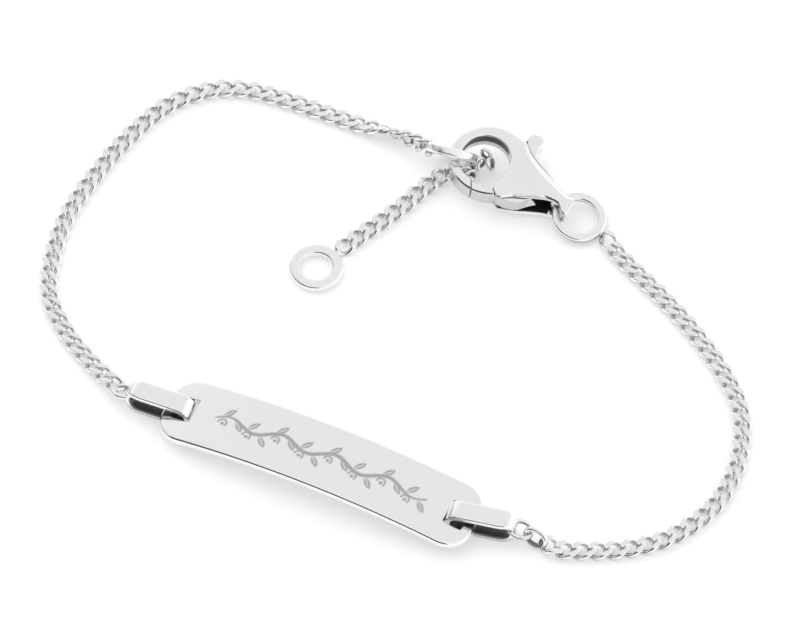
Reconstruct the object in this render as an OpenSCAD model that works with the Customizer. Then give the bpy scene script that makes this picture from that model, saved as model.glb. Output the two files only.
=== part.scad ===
// Name bracelet: an arched plate on fine curb chain, closed by a lobster clasp, with a short extension.
// The bracelet lies on the plane z = 0. +X is right, +Y is away from the viewer, all lengths are in mm.

/* [Chain] */
// Width of the chain across its flat links
chain_w = 1.7; // [1.2:0.1:2.2]
// Thickness of the chain through its flat links
chain_t = 0.9; // [0.7:0.1:1.2]

/* [Plate] */
// Length of the plate from end to end
plate_l = 28.2; // [26:0.2:29]
// Width of the plate
plate_w = 6.3; // [5:0.1:7.5]
// Thickness of the plate
plate_t = 0.8; // [0.6:0.1:1]
// Radius that the top of the plate is arched to
plate_arch_r = 69; // [50:1:120]
// Radius of the plate's four corners
plate_corner_r = 2.3; // [1:0.1:2.8]
// Height of the plate's ends above the surface
plate_lift = 0.55; // [0.5:0.05:0.7]
// Length of each slot across the plate
slot_l = 2.3; // [2.1:0.1:3]
// Width of each slot along the plate
slot_w = 1.6; // [1.5:0.05:1.7]
// Distance from the plate's end to the slot's far edge
slot_inset = 2.6; // [2.5:0.05:2.8]

/* [Connectors] */
// Width of the connector strip at the plate
connector_w = 1.8; // [1.4:0.1:2]
// Thickness of the connector strip
connector_t = 0.45; // [0.3:0.05:0.5]
// Height of the folded connector
connector_h = 2.4; // [2.3:0.05:2.6]
// Length of the folded connector
connector_l = 5.7; // [5:0.1:6]

/* [Rings] */
// Outer diameter of the ring on the clasp's tail
clasp_ring_od = 4.7; // [4.4:0.1:5]
// Wire diameter of the ring on the clasp's tail
clasp_ring_wire = 0.78; // [0.6:0.02:0.9]
// Outer diameter of the ring in the clasp's hook
hook_ring_od = 4.6; // [4.4:0.1:4.8]
// Wire diameter of the ring in the clasp's hook
hook_ring_wire = 0.8; // [0.6:0.02:0.9]
// Outer diameter of the flat end ring
end_ring_od = 4.55; // [4:0.05:5]
// Bore of the flat end ring
end_ring_bore = 2.66; // [2.2:0.02:3]
// Thickness of the flat end ring
end_ring_t = 0.75; // [0.5:0.05:1]

/* [Clasp] */
// Thickness of the clasp's body
clasp_t = 2.1; // [1.9:0.1:2.3]
// Thickness of the clasp's hook
hook_t = 1.6; // [1.4:0.1:1.7]
// Outer radius of the clasp's hook
hook_r = 3.5; // [3.4:0.05:3.6]
// Diameter of the lever's pin
pin_d = 0.7; // [0.5:0.05:0.8]
// Thickness of the lever inside the body
lever_t = 1.1; // [0.8:0.05:1.2]
// Clearance between the lever and the body
lever_gap = 0.12; // [0.1:0.02:0.15]

/* [Hidden] */

$fn = 64;
silver = "#d9dbdd";
bright_silver = "#e6e8ea";

// Routes of the chains, chosen by hand: a row for each point.
// Columns: x, y, height of the chain's middle, and its turn about the route in degrees (90 is on edge).
left_route = [
    [2.3, 16.7, 2.0, 90],
    [1.5, 17.6, 1.3, 80],
    [0.0, 18.4, 0.9, 60],
    [-3.0, 19.6, 0.5, 15],
    [-6.3, 21.0, 0.45, 0],
    [-9.7, 22.4, 0.45, 0],
    [-13.0, 23.3, 0.45, 0],
    [-16.0, 23.1, 0.45, 0],
    [-19.4, 21.5, 0.45, 0],
    [-22.5, 18.3, 0.45, 0],
    [-25.1, 14.6, 0.45, 0],
    [-27.4, 10.4, 0.45, 0],
    [-28.6, 6.0, 0.45, 0],
    [-28.7, 2.0, 0.45, 0],
    [-27.1, -1.8, 0.45, 0],
    [-24.9, -4.9, 0.5, 10],
    [-23.8, -6.2, 0.7, 30],
    [-22.55, -7.6, 1.15, 50]
];
right_route = [
    [17.6, 8.2, 0.6, 0],
    [19.0, 6.0, 0.48, 0],
    [21.7, 2.8, 0.45, 0],
    [24.4, -0.7, 0.45, 0],
    [26.8, -4.6, 0.45, 0],
    [28.5, -8.6, 0.45, 0],
    [28.7, -12.2, 0.45, 0],
    [27.9, -15.7, 0.45, 0],
    [26.0, -19.0, 0.45, 0],
    [22.7, -21.7, 0.45, 0],
    [19.0, -22.9, 0.45, 0],
    [15.6, -23.1, 0.45, 0],
    [13.4, -23.0, 0.5, 10],
    [12.0, -22.2, 0.8, 50],
    [10.5, -21.6, 1.1, 80]
];
extension_route = [
    [-4.65, 6.7, 0.45, 0],
    [-2.3, 8.7, 0.45, 0],
    [0.3, 10.9, 0.45, 0],
    [2.2, 12.8, 0.45, 0],
    [3.8, 14.1, 0.45, 0],
    [5.2, 14.7, 0.45, 0],
    [6.2, 14.5, 0.5, 0]
];

// Places of the pieces: the middle of each, in the part's frame
plate_x = -6.0;
plate_y = -15.15;
plate_yaw = -24.9;
connector_yaw_left = 158.5;
connector_yaw_right = -14;
connector_grip_left = 12.0;
connector_grip_right = 11.7;
clasp_x = 14.6;
clasp_y = 10.2;
clasp_z = 1.1;
clasp_yaw = 146;
clasp_pitch = 5.5;
clasp_ring_z = 0.8;
clasp_ring_tilt = 11;
hook_ring_place = [4.85, 15.55, 2.1];
hook_ring_lean = -60;
hook_ring_yaw = -17.7;
end_ring_x = -6.5;
end_ring_y = 5.0;

// The clasp's own frame: x runs from the tail to the hook, y to the gate's side, z through its thickness
hook_x = 7.9;
pivot = [4.8, 1.2];
nub = [5.9, -3.85];
nub_r = 0.75;
gate_in_r = 1.6;
gate_out_r = 3.6;
eye_x = 1.0;
eye_r = 0.52;
eye_reach = 0.4;
tail_r = 1.25;
// Outline of the body between the hook and the tail. Columns: along, side.
body_outline = [
    [-0.3, -0.65], [0.5, -0.85], [1.7, -1.25], [3.4, -1.85], [5.3, -2.65], [6.3, -3.15],
    [7.0, -1.5], [6.3, -0.6], [6.3, 1.6], [6.0, 2.2], [4.9, 2.79], [3.9, 2.5],
    [2.8, 1.75], [1.6, 1.05], [0.5, 0.75], [-0.3, 0.65]
];
// Outline of the lever's shoulder, flush with the body on the gate's side. Columns: along, side.
shoulder_outline = [
    [4.8, 0.1], [2.3, 1.0], [2.6, 1.55], [3.9, 2.42], [4.9, 2.71], [5.95, 2.15], [6.2, 1.6]
];
// Outline of the channel that the lever moves in. Columns: along, side.
channel_outline = [
    [1.5, 4.0], [1.5, 0.3], [2.6, -0.4], [2.6, -4.0], [6.7, -4.0], [6.1, -1.2],
    [6.3, -0.6], [7.5, -0.4], [7.5, 4.0]
];

// A smooth curve through points p1 and p2, with p0 and p3 as their neighbours
function blend(p0, p1, p2, p3, t) =
    0.5 * (2 * p1 + (p2 - p0) * t + (2 * p0 - 5 * p1 + 4 * p2 - p3) * t * t
    + (3 * p1 - p0 - 3 * p2 + p3) * t * t * t);

// The route's points with one more halfway along each step, all on the smooth curve
function smooth_route(r) = let (last = len(r) - 1) [
    for (i = [0 : last - 1]) for (t = [0, 0.5])
        blend(r[max(i - 1, 0)], r[i], r[i + 1], r[min(i + 2, last)], t),
    r[last]
];

function unit(v) = v / norm(v);
function place(row) = [row[0], row[1], row[2]];

// Eight points of the chain's section at point i of a route, square to the way it runs
function section(r, i) =
    let (run = unit(place(r[min(i + 1, len(r) - 1)]) - place(r[max(i - 1, 0)])),
         flat = unit(cross([0, 0, 1], run)),
         rise = cross(run, flat),
         turn = r[i][3],
         across = flat * cos(turn) + rise * sin(turn),
         through = rise * cos(turn) - flat * sin(turn))
    [for (k = [0 : 7]) place(r[i]) + across * chain_w / 2 * cos(45 * k)
        + through * chain_t / 2 * sin(45 * k)];

// A chain: one tube of eight sides along its route
module chain(route) {
    r = smooth_route(route);
    rings = len(r);
    points = [for (i = [0 : rings - 1]) each section(r, i)];
    sides = [for (i = [0 : rings - 2]) for (k = [0 : 7])
        let (a = 8 * i + k, b = 8 * i + (k + 1) % 8) each [[a, a + 8, b + 8], [a, b + 8, b]]];
    start = [for (k = [0 : 7]) k];
    end = [for (k = [0 : 7]) 8 * rings - 1 - k];
    color(silver) polyhedron(points, [start, each sides, end], convexity = 10);
}

module left_chain() { chain(left_route); }
module right_chain() { chain(right_route); }
module extension_chain() { chain(extension_route); }

// A rectangle with round corners, made of circles and bars
module round_rectangle(l, w, r) {
    square([l - 2 * r, w], center = true);
    square([l, w - 2 * r], center = true);
    for (x = [-1, 1]) for (y = [-1, 1])
        translate([x * (l / 2 - r), y * (w / 2 - r)]) circle(r);
}

// The plate lies along its own X, bent about an axis below it, and rests above the surface by its ends
half_angle = asin(plate_l / 2 / plate_arch_r);
arch_axis_z = plate_lift + plate_t * cos(half_angle) - plate_arch_r * cos(half_angle);
slot_mid = plate_l / 2 - slot_inset + slot_w / 2;

module plate() {
    color(bright_silver)
    translate([plate_x, plate_y, 0]) rotate([0, 0, plate_yaw])
    difference() {
        intersection() {
            translate([0, 0, arch_axis_z]) rotate([90, 0, 0]) difference() {
                cylinder(h = plate_w + 2, r = plate_arch_r, center = true, $fn = 720);
                cylinder(h = plate_w + 4, r = plate_arch_r - plate_t, center = true, $fn = 720);
            }
            linear_extrude(10) round_rectangle(plate_l, plate_w, plate_corner_r);
        }
        for (x = [-1, 1]) translate([x * slot_mid, 0, -1])
            linear_extrude(6) round_rectangle(slot_w, slot_l, 0.3);
    }
}

// A connector: a strip folded into a long loop. Its own X runs from the plate to the chain.
module connector(yaw, grip) {
    end_r = connector_h / 2;
    span = connector_l - connector_h;
    color(bright_silver)
    translate([plate_x + grip * cos(plate_yaw), plate_y + grip * sin(plate_yaw), end_r])
    rotate([0, 0, yaw]) intersection() {
        rotate([90, 0, 0]) linear_extrude(connector_w, center = true) difference() {
            stadium(end_r, span);
            stadium(end_r - connector_t, span, connector_t);
        }
        translate([connector_l / 2, 0, -end_r - 1]) linear_extrude(connector_h + 2)
            round_rectangle(connector_l, connector_w, 0.45);
    }
}

// Two circles joined by a bar, from x = inset on
module stadium(r, span, inset = 0) {
    translate([r + inset, 0]) circle(r);
    translate([r + inset + span, 0]) circle(r);
    translate([r + inset, -r]) square([span, 2 * r]);
}

module left_connector() { connector(connector_yaw_left, -connector_grip_left); }
module right_connector() { connector(connector_yaw_right, connector_grip_right); }

// A ring bent from round wire, lying in the XY plane
module wire_ring(od, wire) {
    rotate_extrude() translate([(od - wire) / 2, 0]) circle(d = wire, $fn = 32);
}

module hook_ring() {
    color(silver) translate(hook_ring_place) rotate([hook_ring_lean, 0, hook_ring_yaw])
        wire_ring(hook_ring_od, hook_ring_wire);
}

// The clasp ring passes through the tail's eye and dips to the surface on its far side
module clasp_ring() {
    color(silver) on_clasp_yaw() translate([eye_x - (clasp_ring_od - clasp_ring_wire) / 2, -0.25,
        clasp_ring_z - clasp_z]) rotate([0, -clasp_ring_tilt, 0])
        wire_ring(clasp_ring_od, clasp_ring_wire);
}

module end_ring() {
    round_r = 0.2;
    color(bright_silver) translate([end_ring_x, end_ring_y, 0]) rotate_extrude()
        translate([(end_ring_bore + end_ring_od) / 4, end_ring_t / 2])
            round_rectangle((end_ring_od - end_ring_bore) / 2, end_ring_t, round_r);
}

// Turn from the clasp's own frame to the part's, without and with the rise toward the hook
module on_clasp_yaw() {
    translate([clasp_x, clasp_y, clasp_z]) rotate([0, 0, clasp_yaw]) children();
}
module on_clasp() {
    on_clasp_yaw() rotate([0, -clasp_pitch, 0]) children();
}

// Outline of the space inside the hook
module hook_hole() {
    translate([8.35, 0]) circle(2.05);
    translate([8.3, 0.6]) circle(2.0);
}

// Space between two radii about the lever's pivot, on the gate's side of the hook, from a side distance on
module gate_space(r_in, r_out, from_side) {
    intersection() {
        difference() {
            translate(pivot) circle(r_out);
            translate(pivot) circle(r_in);
        }
        translate([5.0, from_side]) square([4, 4]);
    }
}

module hook_outline() {
    difference() {
        translate([hook_x, 0]) circle(hook_r);
        hook_hole();
        gate_space(gate_in_r, gate_out_r, 0.25);
    }
}

// The body, the hook, the tail with its eye, and the pin, all one casting
module clasp_body() {
    channel_t = lever_t + 2 * lever_gap;
    color(silver) on_clasp() union() {
        difference() {
            union() {
                linear_extrude(hook_t, center = true) hook_outline();
                intersection() {
                    linear_extrude(clasp_t, center = true) difference() {
                        polygon(body_outline);
                        hook_hole();
                        gate_space(gate_in_r, gate_out_r, 0.25);
                    }
                    union() {
                        translate([eye_x, 0, 0]) rotate([90, 0, 0]) cylinder(h = 8, r = tail_r, center = true);
                        translate([eye_x, -4, -2]) cube([8, 8, 4]);
                    }
                }
            }
            linear_extrude(channel_t, center = true) polygon(channel_outline);
            for (x = [-eye_reach, 0]) translate([eye_x + x, 0, 0]) rotate([90, 0, 0])
                cylinder(h = 4, r = eye_r, center = true);
        }
        translate([pivot[0], pivot[1], 0]) cylinder(h = clasp_t - 0.2, d = pin_d, center = true);
    }
}

// The lever: a hub on the pin, a thumb nub past the spine, and the gate arm that closes the hook
module clasp_lever() {
    arm = nub - pivot;
    way = arm / norm(arm);
    side = [-way[1], way[0]];
    color(bright_silver) on_clasp() difference() {
        union() {
            linear_extrude(lever_t, center = true) {
                translate(pivot) circle(1.1);
                polygon([pivot + side * 0.7, pivot - side * 0.7, nub - side * 0.5, nub + side * 0.5]);
                polygon([pivot + [0, -0.6], pivot + [2.2, 0.4], pivot + [1.6, 1.8], pivot + [-0.3, 1.05]]);
                intersection() {
                    polygon(shoulder_outline);
                    translate(pivot) circle(2.4);
                }
            }
            linear_extrude(1.3, center = true) translate(nub) circle(nub_r);
            linear_extrude(hook_t, center = true) intersection() {
                difference() {
                    translate([hook_x, 0]) circle(hook_r);
                    translate([8.3, 0.6]) circle(2.05);
                }
                gate_space(gate_in_r + lever_gap, gate_out_r - lever_gap, 1.3);
            }
        }
        translate([pivot[0], pivot[1], 0]) cylinder(h = 4, d = pin_d + 0.14, center = true);
    }
}

plate();
left_connector();
right_connector();
left_chain();
right_chain();
extension_chain();
hook_ring();
clasp_body();
clasp_lever();
clasp_ring();
end_ring();
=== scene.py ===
"""Looks of a silver identity bracelet that lies on a pale surface.

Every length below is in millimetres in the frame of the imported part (+X right, +Y away, +Z up), and becomes
metres where a mesh is put into Blender. Angles are in degrees unless a name says otherwise.
"""

import logging
import math
from abc import ABC, abstractmethod
from collections.abc import Sequence
from dataclasses import dataclass, field
from enum import Enum

import bpy
import numpy as np
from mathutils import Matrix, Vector

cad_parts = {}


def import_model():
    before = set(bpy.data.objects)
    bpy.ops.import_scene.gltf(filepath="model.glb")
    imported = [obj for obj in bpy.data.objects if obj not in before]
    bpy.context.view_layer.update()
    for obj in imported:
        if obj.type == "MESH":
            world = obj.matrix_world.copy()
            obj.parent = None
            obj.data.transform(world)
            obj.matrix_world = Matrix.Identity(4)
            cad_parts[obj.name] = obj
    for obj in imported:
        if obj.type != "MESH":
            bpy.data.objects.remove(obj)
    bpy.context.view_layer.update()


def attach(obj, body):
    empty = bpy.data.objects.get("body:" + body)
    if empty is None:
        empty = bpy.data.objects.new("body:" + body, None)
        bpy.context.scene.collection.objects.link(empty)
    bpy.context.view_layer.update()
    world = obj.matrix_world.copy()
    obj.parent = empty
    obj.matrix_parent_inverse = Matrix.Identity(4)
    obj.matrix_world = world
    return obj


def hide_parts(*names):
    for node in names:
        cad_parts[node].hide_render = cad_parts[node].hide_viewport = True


MM = 0.001
BRACELET = "bracelet"
LEVER = "lever"
TINY = 1e-12

Span = tuple[float, float]
Point = tuple[float, float, float]
Row = tuple[float, float, float, float]
Colour = tuple[float, float, float, float]
FALL: Span = (1.0, 0.0)

log = logging.getLogger("bracelet")


class Slot(Enum):
    """The record's material slots."""

    PLATE = "polished_silver"
    CHAIN = "chain_silver"
    RING = "ring_silver"
    CLASP = "clasp_silver"


def unit(vectors: np.ndarray) -> np.ndarray:
    """Vectors along the last axis scaled to length one."""
    return vectors / np.maximum(np.linalg.norm(vectors, axis=-1, keepdims=True), TINY)


def smooth_step(low: float, high: float, x: np.ndarray) -> np.ndarray:
    """Zero up to low, one from high on, and 3t^2 - 2t^3 between; low may be the larger, for a fall."""
    t = np.clip((x - low) / (high - low), 0.0, 1.0)
    return t * t * (3.0 - 2.0 * t)


def eased(ends: Span, run: Span, x: np.ndarray) -> np.ndarray:
    """The first end value before the run, the second past it, and a smooth step between them."""
    return ends[0] + (ends[1] - ends[0]) * smooth_step(*run, x)


def full_turn(count: int) -> np.ndarray:
    """Angles in radians evenly round a circle, from zero, without the last, which would close it."""
    return np.linspace(0, 2 * math.pi, count, endpoint=False)


def turned(x: float = 0.0, y: float = 0.0, z: float = 0.0) -> np.ndarray:
    """A rotation about X, then Y, then Z.

    Args:
        x: degrees about X.
        y: degrees about Y.
        z: degrees about Z.
    Returns:
        A 3 by 3 matrix that acts on column vectors.
    """
    cx, cy, cz = np.cos(np.radians([x, y, z]))
    sx, sy, sz = np.sin(np.radians([x, y, z]))
    about_x = np.array([[1, 0, 0], [0, cx, -sx], [0, sx, cx]])
    about_y = np.array([[cy, 0, sy], [0, 1, 0], [-sy, 0, cy]])
    about_z = np.array([[cz, -sz, 0], [sz, cz, 0], [0, 0, 1]])
    return about_z @ about_y @ about_x


@dataclass(frozen=True)
class Placement:
    """A rigid move: a rotation and then a shift."""

    shift: np.ndarray
    rotation: np.ndarray = field(default_factory=lambda: np.eye(3))

    def points(self, local: np.ndarray) -> np.ndarray:
        """Points moved from the piece's own frame to the bracelet's."""
        return local @ self.rotation.T + self.shift

    def vectors(self, local: np.ndarray) -> np.ndarray:
        """Directions turned from the piece's own frame to the bracelet's."""
        return local @ self.rotation.T

    def then(self, outer: "Placement") -> "Placement":
        """This move followed by an outer one."""
        return Placement(outer.points(self.shift), outer.rotation @ self.rotation)


@dataclass
class Surface:
    """A mesh in the making: points, faces of four corners, and named values at the points."""

    points: np.ndarray
    faces: np.ndarray
    values: dict[str, np.ndarray] = field(default_factory=dict)
    normals: np.ndarray | None = None

    def face_normals(self) -> np.ndarray:
        """Normals of the faces, from their diagonals, not scaled to length one."""
        corner = self.points[self.faces]
        return np.cross(corner[:, 2] - corner[:, 0], corner[:, 3] - corner[:, 1])

    def facing(self, outward: np.ndarray) -> "Surface":
        """The surface with its faces turned over if they look away from a direction.

        Args:
            outward: one direction, or one at each point.
        Returns:
            The surface itself, or one with reversed faces.
        """
        if outward.ndim == 2:
            outward = outward[self.faces[:, 0]]
        if np.sum(self.face_normals() * outward) < 0:
            return Surface(self.points, self.faces[:, ::-1], self.values, self.normals)
        return self

    def moved(self, placement: Placement) -> "Surface":
        """The surface carried to a place."""
        normals = None if self.normals is None else placement.vectors(self.normals)
        return Surface(placement.points(self.points), self.faces, self.values, normals)

    def welded(self, gap: float = 1e-4) -> "Surface":
        """The surface with near points made one, and flat leftovers dropped.

        Args:
            gap: points closer than this become one.
        Returns:
            The surface without doubles.
        """
        _, first, where = np.unique(
            np.round(self.points / gap).astype(np.int64), axis=0, return_index=True, return_inverse=True)
        faces = where.reshape(-1)[self.faces]
        whole = np.all(faces != np.roll(faces, 1, axis=1), axis=1)
        values = {name: value[first] for name, value in self.values.items()}
        return Surface(self.points[first], faces[whole], values)

    @staticmethod
    def joined(parts: list["Surface"]) -> "Surface":
        """Several surfaces as one.

        Args:
            parts: surfaces that have the same named values.
        Returns:
            One surface with the points and faces of all.
        """
        starts = np.cumsum([0] + [len(part.points) for part in parts[:-1]])
        return Surface(
            np.concatenate([part.points for part in parts]),
            np.concatenate([part.faces + start for part, start in zip(parts, starts)]),
            {name: np.concatenate([part.values[name] for part in parts]) for name in parts[0].values})


def grid_surface(grid: np.ndarray, close_rows: bool = False, close_columns: bool = False,
                 **values: np.ndarray) -> Surface:
    """A surface from a grid of points. Point (i, j) has the number i * columns + j.

    Args:
        grid: rows by columns by 3 coordinates.
        close_rows: whether the last row joins the first.
        close_columns: whether the last column joins the first.
        values: named values, one at each point.
    Returns:
        The surface.
    """
    rows, columns = grid.shape[:2]
    i = np.arange(rows if close_rows else rows - 1)[:, None]
    j = np.arange(columns if close_columns else columns - 1)[None, :]
    i_next, j_next = (i + 1) % rows, (j + 1) % columns
    corners = [i * columns + j, i_next * columns + j, i_next * columns + j_next, i * columns + j_next]
    faces = np.stack(corners, axis=-1).reshape(-1, 4)
    return Surface(grid.reshape(-1, 3), faces, {name: value.reshape(-1) for name, value in values.items()})


def closed_tube(grid: np.ndarray, middle: np.ndarray, recess: np.ndarray) -> Surface:
    """A tube that closes both ways: sections by points, each section round its point of the middle line."""
    made = grid_surface(grid, True, True, recess=recess)
    return made.facing(made.points - np.repeat(middle, grid.shape[1], axis=0))


def round_wire(middle: np.ndarray, side: np.ndarray, up: np.ndarray, wire: float,
               count: int) -> tuple[np.ndarray, np.ndarray]:
    """A circle of wire about each point of a middle line: middle + w / 2 (side cos phi + up sin phi).

    Args:
        middle: points by 3.
        side: the unit direction of phi = 0 at each point.
        up: the unit direction of phi = 90 at each point.
        wire: the wire's diameter.
        count: points round each circle.
    Returns:
        The circles, points by count by 3, and cos phi, points by count.
    """
    phi = full_turn(count)[None, :, None]
    grid = middle[:, None] + wire / 2 * (np.cos(phi) * side[:, None] + np.sin(phi) * up[:, None])
    return grid, np.cos(phi[..., 0]) + 0 * grid[..., 0]


def rounded_bar(half_width: np.ndarray, half_height: float, radius: float, corner_steps: int) -> np.ndarray:
    """Outline of a rectangle with round corners: a quarter circle in each corner, joined by straight sides.

    Args:
        half_width: half of the width, one value for each section.
        half_height: half of the height.
        radius: radius of the corners.
        corner_steps: points along each corner, less one.
    Returns:
        Sections by points by 2, counter-clockwise from the right side.
    """
    swing = np.radians(np.linspace(0, 90, corner_steps + 1))
    angle = np.concatenate([swing + k * math.pi / 2 for k in range(4)])
    sign_x = np.repeat([1, -1, -1, 1], corner_steps + 1)
    sign_y = np.repeat([1, 1, -1, -1], corner_steps + 1)
    x = sign_x * (half_width[:, None] - radius) + radius * np.cos(angle)
    y = sign_y * (half_height - radius) + radius * np.sin(angle) + 0 * x
    return np.stack([x, y], axis=-1)


def smooth_run(a: np.ndarray, b: np.ndarray, c: np.ndarray, d: np.ndarray, steps: int) -> np.ndarray:
    """Smooth stretches from each row of b to the same row of c.

    A stretch is 0.5 (2b + (c - a) t + (2a - 5b + 4c - d) t^2 + (3b - a - 3c + d) t^3), t from 0 to 1.

    Args:
        a: the row before each b.
        b: where each stretch starts.
        c: where it ends.
        d: the row after each c.
        steps: points along each stretch.
    Returns:
        The points of all stretches in one list, without the last c.
    """
    t = (np.arange(steps) / steps)[None, :, None]
    a, b, c, d = (part[:, None, :] for part in (a, b, c, d))
    curve = 0.5 * (2 * b + (c - a) * t + (2 * a - 5 * b + 4 * c - d) * t ** 2
                   + (3 * b - a - 3 * c + d) * t ** 3)
    return curve.reshape(-1, curve.shape[-1])


def mesh_of(name: str, surface: Surface) -> bpy.types.Mesh:
    """A smooth Blender mesh in metres, with the surface's values as point attributes.

    Args:
        name: the mesh's name.
        surface: its shape in millimetres.
    Returns:
        The mesh.
    """
    mesh = bpy.data.meshes.new(name)
    count = len(surface.faces)
    mesh.vertices.add(len(surface.points))
    mesh.vertices.foreach_set("co", (surface.points * MM).astype(np.float32).ravel())
    mesh.loops.add(4 * count)
    mesh.loops.foreach_set("vertex_index", surface.faces.astype(np.int32).ravel())
    mesh.polygons.add(count)
    mesh.polygons.foreach_set("loop_start", np.arange(0, 4 * count, 4, dtype=np.int32))
    mesh.polygons.foreach_set("use_smooth", np.ones(count, dtype=bool))
    mesh.update(calc_edges=True)
    mesh.validate()
    for title, value in surface.values.items():
        mesh.attributes.new(title, "FLOAT", "POINT").data.foreach_set("value", value.astype(np.float32))
    if surface.normals is not None:
        mesh.normals_split_custom_set_from_vertices(surface.normals)
    return mesh


def put_in(name: str, surface: Surface, material: bpy.types.Material, body: str,
           replaces: str) -> bpy.types.Object:
    """Makes a finished piece of a surface and ties it to the frame.

    Args:
        name: the piece's name.
        surface: its shape in millimetres.
        material: its finish.
        body: the body of the frame that it moves with.
        replaces: the frame's node that it stands for.
    Returns:
        The new object, at the origin.
    """
    mesh = mesh_of(name, surface)
    mesh.materials.append(material)
    piece = bpy.data.objects.new(name, mesh)
    bpy.context.scene.collection.objects.link(piece)
    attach(piece, body)
    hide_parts(replaces)
    log.info("%s: %d faces, rides on %s", name, len(mesh.polygons), body)
    return piece


@dataclass(frozen=True)
class Nodes:
    """Adds nodes to one node tree and joins them."""

    tree: bpy.types.NodeTree

    def add(self, kind: str, settings: dict[str, object] | None = None, **inputs: object) -> bpy.types.Node:
        """A new node with its settings and inputs.

        Args:
            kind: Blender's name for the type of node.
            settings: properties of the node itself.
            inputs: a value or an output socket for each input, by its name with _ for a space.
        Returns:
            The node.
        """
        node = self.tree.nodes.new(kind)
        for key, value in (settings or {}).items():
            setattr(node, key, value)
        for key, value in inputs.items():
            self.feed(node.inputs[key.replace("_", " ")], value)
        return node

    def feed(self, socket: bpy.types.NodeSocket, value: object) -> None:
        """Joins an output socket to an input, or writes a plain value into it.

        Args:
            socket: the input.
            value: an output socket or a plain value.
        """
        if isinstance(value, bpy.types.NodeSocket):
            self.tree.links.new(value, socket)
        else:
            socket.default_value = value

    def by_number(self, kind: str, settings: dict[str, object], inputs: dict[int, object]) -> bpy.types.Node:
        """A new node whose inputs share names, so that they are fed by their numbers.

        Args:
            kind: Blender's name for the type of node.
            settings: properties of the node itself.
            inputs: a value or an output socket for each input, by its number.
        Returns:
            The node.
        """
        node = self.add(kind, settings)
        for number, value in inputs.items():
            self.feed(node.inputs[number], value)
        return node

    def math(self, operation: str, first: object, second: object = 0.0) -> bpy.types.NodeSocket:
        """The result of one arithmetic step on two values or sockets."""
        return self.by_number("ShaderNodeMath", {"operation": operation}, {0: first, 1: second}).outputs[0]

    def mixed(self, share: object, first: object, second: object) -> bpy.types.NodeSocket:
        """The colour between two: the first where the share is 0 and the second where it is 1."""
        inputs = {0: share, 6: first, 7: second}
        return self.by_number("ShaderNodeMix", {"data_type": "RGBA"}, inputs).outputs[2]

    def noise(self, place: object, scale: float, detail: float = 2.0,
              rough: float = 0.5) -> bpy.types.NodeSocket:
        """Smooth noise from 0 to 1 at a place."""
        node = self.add("ShaderNodeTexNoise", Vector=place, Scale=scale, Detail=detail, Roughness=rough)
        return node.outputs["Fac"]

    def fade(self, value: object, run: Span, ends: Span = (0.0, 1.0)) -> bpy.types.NodeSocket:
        """A smooth change from one end value to the other.

        Args:
            value: the value or socket that drives it.
            run: where the change starts and where it ends.
            ends: the values before and after the run.
        Returns:
            The changed value's socket.
        """
        node = self.add("ShaderNodeMapRange", {"interpolation_type": "SMOOTHSTEP"}, Value=value,
                        From_Min=run[0], From_Max=run[1], To_Min=ends[0], To_Max=ends[1])
        return node.outputs["Result"]


def grey(level: float) -> Colour:
    """An even grey."""
    return level, level, level, 1.0


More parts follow.
